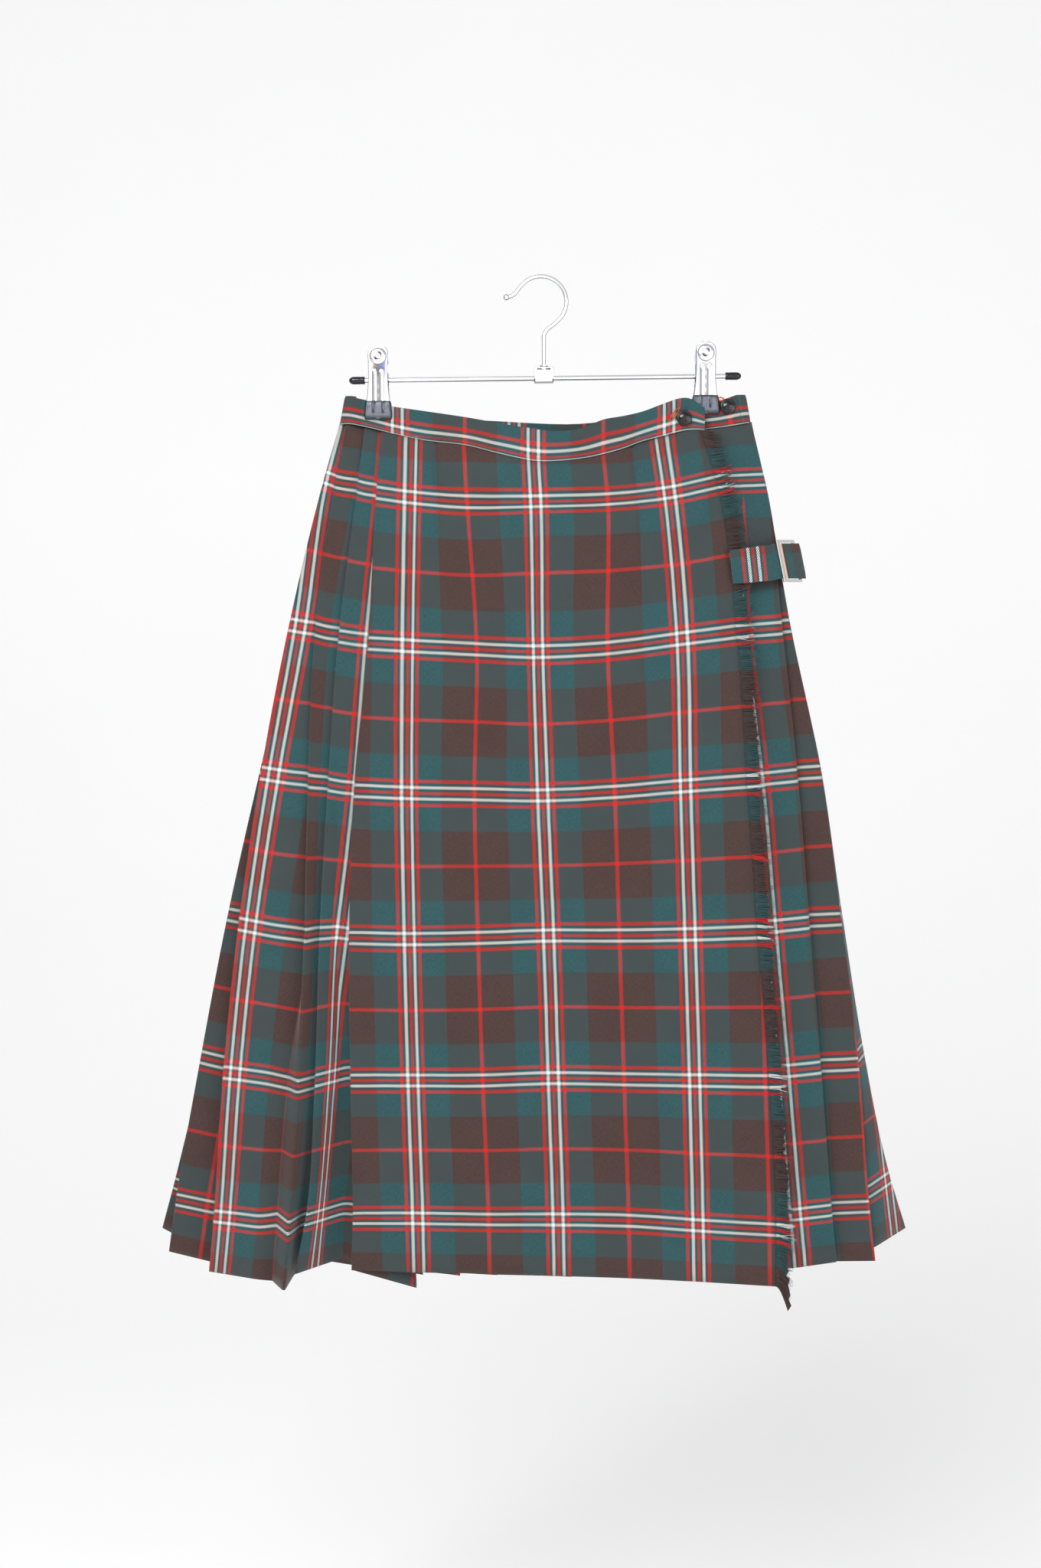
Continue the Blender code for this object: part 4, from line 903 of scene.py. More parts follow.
def tartan_material(name, loose=None):
    """Tartan twill: warp and weft stripes crossed on a diagonal weave, with flecked yarns.

    For frayed weft threads without any warp, loose says how bright they are: their colour is darkened,
    as painted shade for the shadows among them.
    """
    tartan = bpy.context.scene.kilt_tartan
    material, tree, shader = new_material(name, 0.88)
    spot = node(tree, "ShaderNodeUVMap", uv_map="cloth")
    parts = node(tree, "ShaderNodeSeparateXYZ")
    tree.links.new(spot.outputs[0], parts.inputs[0])
    u = math_node(tree, "MULTIPLY", parts.outputs[0], 1 / MM)
    v = math_node(tree, "MULTIPLY", parts.outputs[1], 1 / MM)
    flat = node(tree, "ShaderNodeCombineXYZ")
    tree.links.new(u, flat.inputs[0])
    tree.links.new(v, flat.inputs[1])
    wander = math_node(tree, "SUBTRACT", noise_at(tree, flat.outputs[0], 0.05), 0.5)
    drift = math_node(tree, "MULTIPLY", wander, 0.5)
    warp_place = math_node(tree, "ADD", u, drift)
    weft_place = math_node(tree, "ADD", math_node(tree, "SUBTRACT", v, float(FIRST_GROUP)), drift)
    warp = stripes(tree, warp_place, WARP, tartan)
    weft = stripes(tree, weft_place, WEFT, tartan)
    pitch = tartan.twill / MM
    diagonal = math_node(tree, "DIVIDE", math_node(tree, "ADD", u, v), pitch)
    wave = math_node(tree, "PINGPONG", diagonal, 0.5)
    over = math_node(tree, "MULTIPLY_ADD", wave, 5.0, -0.75, clamp=True)
    cloth = mix_colours(tree, "MIX", over if loose is None else 0.0, weft, warp)
    streaks = []
    for stretch in ((2.6, 0.35, 1), (0.35, 2.6, 1)):
        drawn = node(tree, "ShaderNodeVectorMath", operation="MULTIPLY")
        drawn.inputs[1].default_value = stretch
        tree.links.new(flat.outputs[0], drawn.inputs[0])
        streaks.append(noise_at(tree, drawn.outputs[0], 1.0))
    streak = math_node(tree, "ADD", *streaks)
    cloudy = math_node(tree, "MULTIPLY_ADD", noise_at(tree, flat.outputs[0], 0.03, 3.0), 0.22, 0.89)
    # Loose threads get a darker fleck: painted shade for the shadows among them.
    fleck = math_node(tree, "MULTIPLY_ADD", streak, 0.85 * (loose or 1.0), 0.15 * (loose or 1.0))
    tone = math_node(tree, "MULTIPLY", fleck, cloudy)
    grey = node(tree, "ShaderNodeCombineColor")
    for socket in grey.inputs[:3]:
        tree.links.new(tone, socket)
    colour = mix_colours(tree, "MULTIPLY", 1.0, cloth, grey.outputs[0])
    tree.links.new(colour, shader.inputs["Base Color"])
    height = math_node(tree, "MULTIPLY_ADD", wave, 1.2, math_node(tree, "MULTIPLY", streak, 0.7))
    bump = node(tree, "ShaderNodeBump")
    bump.inputs["Strength"].default_value = 0.35
    bump.inputs["Distance"].default_value = 0.12 * MM
    tree.links.new(height, bump.inputs["Height"])
    tree.links.new(bump.outputs[0], shader.inputs["Normal"])
    shader.inputs["Sheen Weight"].default_value = 0.18
    shader.inputs["Sheen Roughness"].default_value = 0.5
    shader.inputs["Specular IOR Level"].default_value = 0.25
    return material


def clouding(tree, scale, detail):
    """Soft noise that stays with the object."""
    return noise_at(tree, node(tree, "ShaderNodeTexCoord").outputs["Object"], scale, detail)


def plain_material(name, colour, roughness, metallic=0.0, grain=0.04, scale=300.0):
    """A hard finish with a little wear: colour and roughness vary over the surface."""
    material, tree, shader = new_material(name, roughness, metallic)
    cloudy = clouding(tree, scale, 4.0)
    shade = mix_colours(tree, "MIX", cloudy, tuple(c * (1 - grain) for c in colour),
                        tuple(min(1.0, c * (1 + grain)) for c in colour))
    tree.links.new(shade, shader.inputs["Base Color"])
    rough = math_node(tree, "MULTIPLY_ADD", cloudy, roughness * 0.5, roughness * 0.75)
    tree.links.new(rough, shader.inputs["Roughness"])
    bump = node(tree, "ShaderNodeBump")
    bump.inputs["Strength"].default_value = 0.06
    bump.inputs["Distance"].default_value = 0.1 * MM
    tree.links.new(clouding(tree, scale * 3, 3.0), bump.inputs["Height"])
    tree.links.new(bump.outputs[0], shader.inputs["Normal"])
    return material


def metal_material(name, colour, dark):
    """Bright plating with painted reflection: its flanks and marked places are painted darker.

    A flank is a face that looks up, down or sideways; places marked in the tone attribute are painted darker
    as well, as if they mirrored darker surroundings.
    """
    material, tree, shader = new_material(name, PLATING_ROUGH, 1.0)
    cloudy = clouding(tree, PLATING_CLOUDS, 2.0)
    # Painted reflection: faces that turn away from the front are painted darker, as are places marked in the
    # tone attribute.
    facing = node(tree, "ShaderNodeNewGeometry")
    parts = node(tree, "ShaderNodeSeparateXYZ")
    tree.links.new(facing.outputs["Normal"], parts.inputs[0])
    front = math_node(tree, "ABSOLUTE", parts.outputs[1])
    bright = node(tree, "ShaderNodeMapRange", interpolation_type="SMOOTHSTEP")
    tree.links.new(front, bright.inputs["Value"])
    bright.inputs["From Min"].default_value = dark
    bright.inputs["From Max"].default_value = 0.8
    painted = node(tree, "ShaderNodeAttribute", attribute_name="tone")
    unpainted = math_node(tree, "SUBTRACT", 1.0, painted.outputs["Fac"])
    share = math_node(tree, "MULTIPLY", bright.outputs[0], unpainted)
    mottled = mix_colours(tree, "MIX", cloudy, tuple(c * 0.9 for c in colour), colour)
    shade = mix_colours(tree, "MIX", share, tuple(c * PLATING_PAINTED_DARK for c in colour), mottled)
    tree.links.new(shade, shader.inputs["Base Color"])
    return material


def sleeve_material(name, colour):
    """Translucent grey vinyl, darker where the tone attribute paints shade on it."""
    material, tree, shader = new_material(name, 0.16)
    cloudy = clouding(tree, SLEEVE_CLOUDS, 3.0)
    painted = node(tree, "ShaderNodeAttribute", attribute_name="tone")
    dark, light = JAW_COLOURS
    clear = mix_colours(tree, "MIX", cloudy, dark, light)
    shade = mix_colours(tree, "MIX", painted.outputs["Fac"], clear, colour)
    tree.links.new(shade, shader.inputs["Base Color"])
    return material


def glowing(material, colour, strength):
    """Lets a material give off light of its own."""
    shader = material.node_tree.nodes["Principled BSDF"]
    shader.inputs["Emission Color"].default_value = (*colour, 1)
    shader.inputs["Emission Strength"].default_value = strength


def paint(mesh, tones):
    """Stores a tone of painted reflection and shade for each point of a mesh: 0 is plain and 1 is darkest.
    """
    layer = mesh.attributes.new("tone", "FLOAT", "POINT")
    layer.data.foreach_set("value", np.array(tones, dtype=np.float32))


def shared_material(name, make, *arguments, **options):
    """A material by name, made the first time it is asked for."""
    return bpy.data.materials.get(name) or make(name, *arguments, **options)


def thicken(obj, thickness):
    """Gives a sheet its thickness."""
    solid = obj.modifiers.new("cloth", "SOLIDIFY")
    solid.thickness = thickness
    solid.offset = 0.0


class KILT_OT_skirt(bpy.types.Operator):
    """Folds the skirt's cloth: aprons and pleats"""

    bl_idname = "kilt.skirt"
    bl_label = "Skirt"

    def execute(self, context):
        cloth = context.scene.kilt_cloth
        downs = np.linspace(0, LEVELS[-1], cloth.rows + 1)
        sections = [cloth_walls(down) for down in downs]
        material = shared_material("tartan_twill", tartan_material)
        for index, name in enumerate(WALLS):
            wall = [section[index] for section in sections]
            self.build(name, wall, downs, material, cloth.thickness)
        return {"FINISHED"}

    def build(self, name, wall, downs, material, thickness):
        """One stretch of the cloth, as a thin sheet."""
        counts = leg_counts(wall)
        rows, before, after, down_places = [], [], [], []
        creases = BACK_CREASES if "back" in name else FRONT_CREASES
        for down, (spots, roundings, places) in zip(downs, wall):
            row, first, second = softened(spots, roundings, places, counts)
            if not down:
                row[:, 2] += SEWN_IN
                row[:, 1] += -SEWN_INSIDE if "back" in name else SEWN_INSIDE
            fade = min(1.0, down / 60)
            if name != "over_apron":
                row[:, 1] += fade * crease_depth(creases, row[:, 0], row[:, 2])
            rows.append(row)
            before.append(first)
            after.append(second)
            spot = down or -SEWN_IN
            level = cloth_down(row[:, 0], spot) if name == "over_apron" else np.full(len(row), spot)
            down_places.append(level)
        obj = grid_object(name + "_cloth", rows, before, after, down_places, material)
        thicken(obj, thickness)
        settle(obj, name, slot="tartan_wool")


def seam_height(x, y, edges):
    """The height of the highest cloth edge that passes close to a place of the plan."""
    heights = []
    for edge in edges:
        for (x0, y0, z0), (x1, y1, z1) in zip(edge, edge[1:]):
            low, high = sorted((x0, x1))
            near = min(abs(y0 - y), abs(y1 - y)) < BAND_NEAR
            if near and low - BAND_NEAR <= x <= high + BAND_NEAR:
                share = np.clip((x - x0) / (x1 - x0), 0, 1) if high - low > SEAM else 0.5
                heights.append(z0 + (z1 - z0) * share)
    return max(heights) + 2 * SEAM


def band_path(table, share, edges):
    """One height of a stretch of the waistband: share is 0 at its top and 1 at its seam."""
    path = []
    flare = max(0.0, (share - BAND_PINCH) / (1 - BAND_PINCH))
    for x, top, y_top, y_bottom in table:
        lean = min(BAND_LEAN * max(0.0, abs(x) - BAND_HELD), BAND_LEAN_MOST)
        shift = math.copysign(lean * (1 - share), x)
        place = sight(x - shift, top, y_top + (y_bottom - y_top) * flare)
        foot = seam_height(place[0] + shift, y_bottom, edges) - BAND_LAP
        path.append((place[0], place[1], place[2] + (foot - place[2]) * share))
    return np.array(path)


def finer(path, parts=4):
    """A smooth path through the points of a coarse one."""
    last = len(path) - 1
    return np.array([smooth(range(last + 1), path, at) for at in np.linspace(0, last, last * parts + 1)])


def offset(path, distance):
    """Moves a plan path sideways by a distance."""
    plan = path[:, :2]
    tangent = np.gradient(plan, axis=0)
    tangent /= np.linalg.norm(tangent, axis=1)[:, None]
    moved = path.copy()
    moved[:, 0] += tangent[:, 1] * distance
    moved[:, 1] -= tangent[:, 0] * distance
    return moved


def strip_object(name, paths, thickness, u, v_of, material):
    """A flat band with soft edges: paths run along it at even heights, top first."""
    heights = np.linspace(0, 1, len(paths))
    rows, down = [], []
    for side in (1, -1):
        order = list(range(len(paths)))[::side]
        for i in order:
            edge = i in (0, len(paths) - 1)
            rows.append(offset(paths[i], side * thickness / 2 * (0.55 if edge else 1.0)))
            down.append(v_of(heights[i]))
    width = len(paths[0])
    table = [u] * len(rows)
    obj = grid_object(name, rows, table, table, [[value] * width for value in down], material, closed=True)
    close_ends(obj, len(rows), width)
    return obj


def close_ends(obj, count, width):
    """Closes the two ends of a tube built by grid_object."""
    bm = bmesh.new()
    bm.from_mesh(obj.data)
    bm.verts.ensure_lookup_table()
    layer = bm.loops.layers.uv.active
    for end in (0, width - 1):
        ring = [bm.verts[i * width + end] for i in range(count)]
        face = bm.faces.new(ring)
        for loop in face.loops:
            loop[layer].uv = loop.vert.link_loops[0][layer].uv
    bmesh.ops.recalc_face_normals(bm, faces=bm.faces[:])
    bm.to_mesh(obj.data)
    bm.free()
    obj.data.shade_smooth()
    obj.data.set_sharp_from_angle(angle=math.radians(50))


class KILT_OT_waistband(bpy.types.Operator):
    """Sews the waistband's three stretches along the cloth's upper edges"""

    bl_idname = "kilt.waistband"
    bl_label = "Waistband"

    def execute(self, context):
        material = shared_material("tartan_twill", tartan_material)
        edges = [wall[0] for wall in cloth_walls(0)]
        for name, (table, way, x_known, known) in BAND_PATTERN.items():
            paths = [finer(band_path(table, share, edges)) for share in np.linspace(0, 1, BAND_ROWS)]
            middle = paths[BAND_ROWS // 2]
            walked = walked_along(middle)
            turned_back = (middle[:, 1] > BAND_TURN) & (way > 0)
            nearest = int(np.argmin(np.abs(middle[:, 0] - x_known) + turned_back * BAND_FAR))
            places = known + way * (walked[nearest] - walked)
            obj = strip_object(name + "_cloth", paths, BAND, places, self.pattern_down, material)
            settle(obj, name, slot="tartan_wool")
        return {"FINISHED"}

    def pattern_down(self, share):
        """The pattern's place down the cloth at a share of the band's height."""
        return FIRST_GROUP + float(np.interp(share * BAND_DOWN[0][-1], *BAND_DOWN))


def ring_faces(bm, here, there):
    """Joins two rings of as many points with a band of faces."""
    corners = zip(here, here[1:] + here[:1], there[1:] + there[:1], there)
    return [bm.faces.new(four) for four in corners]


class KILT_OT_fringe(bpy.types.Operator):
    """Frays the over apron's right edge into threads"""

    bl_idname = "kilt.fringe"
    bl_label = "Fringe"

    def execute(self, context):
        # The threads' colour is darkened as painted shade among them.
        material = shared_material("tartan_threads", tartan_material, loose=0.8)
        bm = bmesh.new()
        layer = bm.loops.layers.uv.new("cloth")
        self.backing(bm, layer)
        for index in range(THREADS):
            self.thread(bm, layer, index)
        mesh = bpy.data.meshes.new("fringe_threads")
        bmesh.ops.recalc_face_normals(bm, faces=bm.faces[:])
        bm.to_mesh(mesh)
        bm.free()
        mesh.shade_smooth()
        settle(placed("fringe_threads", mesh, material), "fringe", slot="fringe_wool")
        return {"FINISHED"}

    def backing(self, bm, layer):
        """A thin ragged layer of matted yarn under the loose threads."""
        usual, slow, fast = MAT_REACH
        rows = []
        for i in range(MAT_ROWS + 1):
            down = LEVELS[-1] * i / MAT_ROWS
            x, z, y = apron_point(6, down)
            hang, _ = self.hang(down)
            reach = THREAD_REACH * (usual + slow * math.sin(i * 2.7) + fast * math.sin(i * 5.9))
            row = []
            for share in MAT_COLUMNS:
                spot = sight(x + SEAM + reach * share, z - hang * share**1.3, y + 0.6 + 1.4 * share)
                row.append(bm.verts.new(np.array(spot) * MM))
            rows.append((row, down))
        for (here, top), (there, low) in zip(rows, rows[1:]):
            for k in range(len(MAT_COLUMNS) - 1):
                face = bm.faces.new((here[k], here[k + 1], there[k + 1], there[k]))
                for loop, down in zip(face.loops, (top, top, low, low)):
                    loop[layer].uv = (FRAYED, down * MM)

    def hang(self, down):
        """How far the threads hang at a distance down the edge, and how far they curl."""
        low = max(0.0, (down / LEVELS[-1] - THREAD_FALL_FROM) / (1 - THREAD_FALL_FROM))
        high = max(0.0, 1 - down / FIRST_GROUP)
        return smooth(LEVELS, THREAD_HANG, down) + THREAD_FALL * low * low + THREAD_TOP * high, low

    def thread(self, bm, layer, index):
        """One thread, from the edge outwards and down."""
        down = LEVELS[-1] * (index + 0.5 + 0.4 * math.sin(index * 12.9)) / THREADS
        down = min(max(down, 0.5), LEVELS[-1] - 0.5)
        x, z, y = apron_point(6, down)
        hang, low = self.hang(down)
        tuft = index // TUFT
        ragged = 0.98 + 0.08 * math.sin(tuft * 2.31) + 0.09 * math.sin(index * 7.13)
        reach = THREAD_REACH * ragged - 4.0 * low
        hang += 0.9 * math.sin(index * 1.73) + TUFT_LEAN * math.sin(tuft * 3.7)
        lift = 0.9 * math.sin(tuft * 1.9) + 0.5 * math.sin(index * 3.37)
        curl = 0.8 * math.sin(index * 4.11) + 0.9 * math.sin(tuft * 5.2)
        radius = THREAD_RADIUS + 0.08 * math.sin(index * 6.7)
        rings = []
        for step in range(THREAD_STEPS + 1):
            share = step / THREAD_STEPS
            wander = curl * math.sin(math.pi * share) + 0.5 * math.sin(index * 5.3 + share * 6)
            spot = np.array(sight(x - 0.8 + (reach + 1.1) * share, z - hang * share**1.4 + wander * share,
                                  y - 0.7 + (1.2 + lift) * share))
            size = radius * (1 - 0.55 * share)
            ring = []
            for corner in range(THREAD_SIDES):
                angle = 2 * math.pi / THREAD_SIDES * corner
                across = (0, size * math.cos(angle), size * math.sin(angle))
                ring.append(bm.verts.new((spot + across) * MM))
            rings.append(ring)
        faces = [bm.faces.new(rings[0]), bm.faces.new(rings[-1])]
        for here, there in zip(rings, rings[1:]):
            faces += ring_faces(bm, here, there)
        for face in faces:
            for loop in face.loops:
                loop[layer].uv = (FRAYED + index * 0.0031, down * MM)


def leaning(x, z, y, lean):
    """A place on the strap, the buckle or the tab, which lean more to the right the lower it is."""
    return sight(x + lean * (BUCKLE_DOWN[0] - z), z, y)


def buckle_place(share, out, z):
    """A point of the buckle's plane: along it from its left bar, out from it, at height z."""
    left = np.array(BUCKLE_LEFT)
    step = np.array(BUCKLE_RIGHT) - left
    normal = np.array((step[1], -step[0])) / np.linalg.norm(step)
    x, y = left + step * share + normal * out
    return leaning(x, z, y, BUCKLE_LEAN)


class KILT_OT_strap(bpy.types.Operator):
    """Adds the hip strap, its tab and its slide buckle"""

    bl_idname = "kilt.strap"
    bl_label = "Strap and Buckle"

    def execute(self, context):
        material = shared_material("tartan_twill", tartan_material)
        top, bottom = BUCKLE_DOWN
        inner = (top - BUCKLE_BAR - BUCKLE_CLEAR, bottom + BUCKLE_BAR + BUCKLE_CLEAR)
        clear = BUCKLE_THICK / 2 + STRAP_THICK / 2 + SEAM
        straps, tabs = [], []
        for share in np.linspace(0, 1, STRAP_ROWS):
            z = inner[0] + (inner[1] - inner[0]) * share
            strap = [leaning(x, high + (low - high) * share, y, STRAP_LEAN) for x, high, low, y in STRAP]
            straps.append(finer(np.array(strap + [buckle_place(place, -clear, z) for place in STRAP_END])))
            tab = [buckle_place(place, out * clear, z) for place, out in TAB_LOOP]
            tabs.append(finer(np.array(tab + [leaning(x, z, y, STRAP_LEAN) for x, y in TAB])))
        for name, paths in (("strap", straps), ("strap_tab", tabs)):
            first, high, low = STRIP_PATTERN[name]
            middle = paths[STRAP_ROWS // 2]
            walked = walked_along(middle)

            def down_pattern(share, high=high, low=low):
                return FIRST_GROUP + high + (low - high) * share

            obj = strip_object(name + "_cloth", paths, STRAP_THICK, first + walked, down_pattern, material)
            settle(obj, name, slot="tartan_wool")
        self.buckle()
        return {"FINISHED"}

    def buckle(self):
        """The slide buckle's frame, cut from plate, and its lining bar."""
        top, bottom = BUCKLE_DOWN
        length = np.linalg.norm(np.array(BUCKLE_RIGHT) - np.array(BUCKLE_LEFT))
        bar = BUCKLE_BAR / length
        cuts = (0.0, bar, BUCKLE_CROSS - bar / 2, BUCKLE_CROSS + bar / 2, 1.0 - bar, 1.0)
        heights = (top, top - BUCKLE_BAR, bottom + BUCKLE_BAR, bottom)
        bm = bmesh.new()
        grid = {}
        for side, out in enumerate((-BUCKLE_THICK / 2, BUCKLE_THICK / 2)):
            for i, share in enumerate(cuts):
                for j, z in enumerate(heights):
                    grid[side, i, j] = bm.verts.new(np.array(buckle_place(share, out, z)) * MM)
        solid = {(i, j) for i in range(5) for j in range(3) if j != 1 or i % 2 == 0}
        for i, j in sorted(solid):
            corners = ((i, j), (i + 1, j), (i + 1, j + 1), (i, j + 1))
            beside = ((i, j - 1), (i + 1, j), (i, j + 1), (i - 1, j))
            lining = 1 if (i, j) == (2, 1) else 0
            for side in (0, 1):
                bm.faces.new([grid[side, a, b] for a, b in corners]).material_index = lining
            for (a, b), (c, d), cell in zip(corners, corners[1:] + corners[:1], beside):
                if cell not in solid:
                    face = bm.faces.new((grid[0, a, b], grid[0, c, d], grid[1, c, d], grid[1, a, b]))
                    face.material_index = lining
        # The frame's plating carries painted reflection: its flanks are painted darker.
        obj = finished(bm, "strap_buckle_frame", shared_material(
            "buckle_plate", metal_material, (0.96, 0.95, 0.94), 0.1), bevel=0.45)
        obj.data.materials.append(shared_material("buckle_lining", plain_material, (0.62, 0.47, 0.37), 0.6))
        settle(obj, "strap_buckle", slot="buckle_metal")


def finished(bm, name, material, bevel=0.0, smooth_angle=40):
    """Turns a bmesh into a smooth object, with bevelled edges where a bevel is given."""
    bmesh.ops.recalc_face_normals(bm, faces=bm.faces[:])
    mesh = bpy.data.meshes.new(name)
    bm.to_mesh(mesh)
    bm.free()
    obj = placed(name, mesh, material)
    mesh.shade_smooth()
    if bevel:
        soft = obj.modifiers.new("edges", "BEVEL")
        soft.width = bevel * MM
        soft.segments = 3
        soft.limit_method = "ANGLE"
        soft.angle_limit = math.radians(smooth_angle)
    mesh.set_sharp_from_angle(angle=math.radians(smooth_angle if not bevel else 80))
    return obj


def turned(name, profile, place, axis, material, segments=32, sharp=38):
    """A solid turned about an axis through place: profile holds radius and distance along it."""
    bm = bmesh.new()
    run = np.array(axis, float) / np.linalg.norm(axis)
    side = np.cross(run, (0.0, 0.0, 1.0) if abs(run[2]) < 0.9 else (1.0, 0.0, 0.0))
    side /= np.linalg.norm(side)
    up = np.cross(run, side)
    rings = []
    for radius, distance in profile:
        centre = np.array(place) + run * distance
        if radius == 0:
            rings.append([bm.verts.new(centre * MM)])
            continue
        angles = [2 * math.pi * i / segments for i in range(segments)]
        rings.append([bm.verts.new((centre + radius * (side * math.cos(a) + up * math.sin(a))) * MM)
                      for a in angles])
    for here, there in zip(rings, rings[1:]):
        for i in range(segments):
            j = (i + 1) % segments
            if len(here) == 1:
                bm.faces.new((here[0], there[i], there[j]))
            elif len(there) == 1:
                bm.faces.new((here[i], there[0], here[j]))
            else:
                bm.faces.new((here[i], there[i], there[j], here[j]))
    return finished(bm, name, material, smooth_angle=sharp)


class KILT_OT_buttons(bpy.types.Operator):
    """Sews on the two buttons and works their buttonholes"""

    bl_idname = "kilt.buttons"
    bl_label = "Buttons"

    def execute(self, context):
        black = shared_material("button_black", plain_material, (0.003, 0.003, 0.004), 0.07)
        rust = shared_material("buttonhole_thread", plain_material, (0.5, 0.085, 0.015), 0.7,
                               grain=0.35, scale=900.0)
        shape = [(radius * BUTTON_RADIUS, height) for radius, height in BUTTON_PROFILE]
        for name, (x, z, y) in BUTTONS.items():
            obj = turned(name + "_dome", shape, sight(x, z, y), (0, -1, 0), black, segments=48, sharp=60)
            settle(obj, name, slot="button_gloss")
        for name, (x, z, y, tilt, length) in BUTTONHOLES.items():
            obj = self.buttonhole(name, sight(x, z, y), math.radians(tilt), length, rust)
            settle(obj, slot="fringe_wool")
        return {"FINISHED"}

    def buttonhole(self, name, centre, tilt, length, material):
        """A narrow oval of close stitches round a slit."""
        bm = bmesh.new()
        rings = []
        for i in range(STITCHES):
            angle = 2 * math.pi * i / STITCHES
            run = np.array((math.cos(angle) * length / 2, 0, math.sin(angle) * 1.3))
            wide = 0.62 + 0.14 * (i % 2)
            spot = np.array((run[0] * math.cos(tilt) - run[2] * math.sin(tilt), 0,
                             run[0] * math.sin(tilt) + run[2] * math.cos(tilt)))
            outward = spot / np.linalg.norm(spot)
            ring = []
            for corner in range(6):
                turn = math.pi / 3 * corner
                ring.append(bm.verts.new((np.array(centre) + spot + outward * wide * math.cos(turn)
                                          + np.array((0, -0.4, 0)) * math.sin(turn)) * MM))
            rings.append(ring)
        for here, there in zip(rings, rings[1:] + rings[:1]):
            ring_faces(bm, here, there)
        return finished(bm, name, material, smooth_angle=60)


def bar_height(x):
    """Height of the bar's middle at x."""
    (x0, z0), (x1, z1) = BAR_ENDS
    return z0 + (z1 - z0) * (x - x0) / (x1 - x0)


def bar_axis():
    """Direction of the bar, from left to right."""
    (x0, z0), (x1, z1) = BAR_ENDS
    return np.array((x1 - x0, 0.0, z1 - z0)) / math.hypot(x1 - x0, z1 - z0)


def steel_material():
    """Bright plated steel with painted reflection on its flanks, shared by the hanger's metal pieces."""
    return shared_material("plated_steel", metal_material, tuple(bpy.context.scene.kilt_hanger.steel), 0.1)


def wire_object(name, route, radius, roundness, steel):
    """A round wire along a route in millimetres."""
    curve = bpy.data.curves.new(name, "CURVE")
    curve.dimensions = "3D"
    curve.bevel_depth = radius * MM
    curve.bevel_resolution = roundness
    curve.use_fill_caps = True
    spline = curve.splines.new("POLY")
    spline.points.add(len(route) - 1)
    for point, (x, y, z) in zip(spline.points, route):
        point.co = (x * MM, y * MM, z * MM, 1)
    spline.use_smooth = True
    return placed(name, curve, steel)


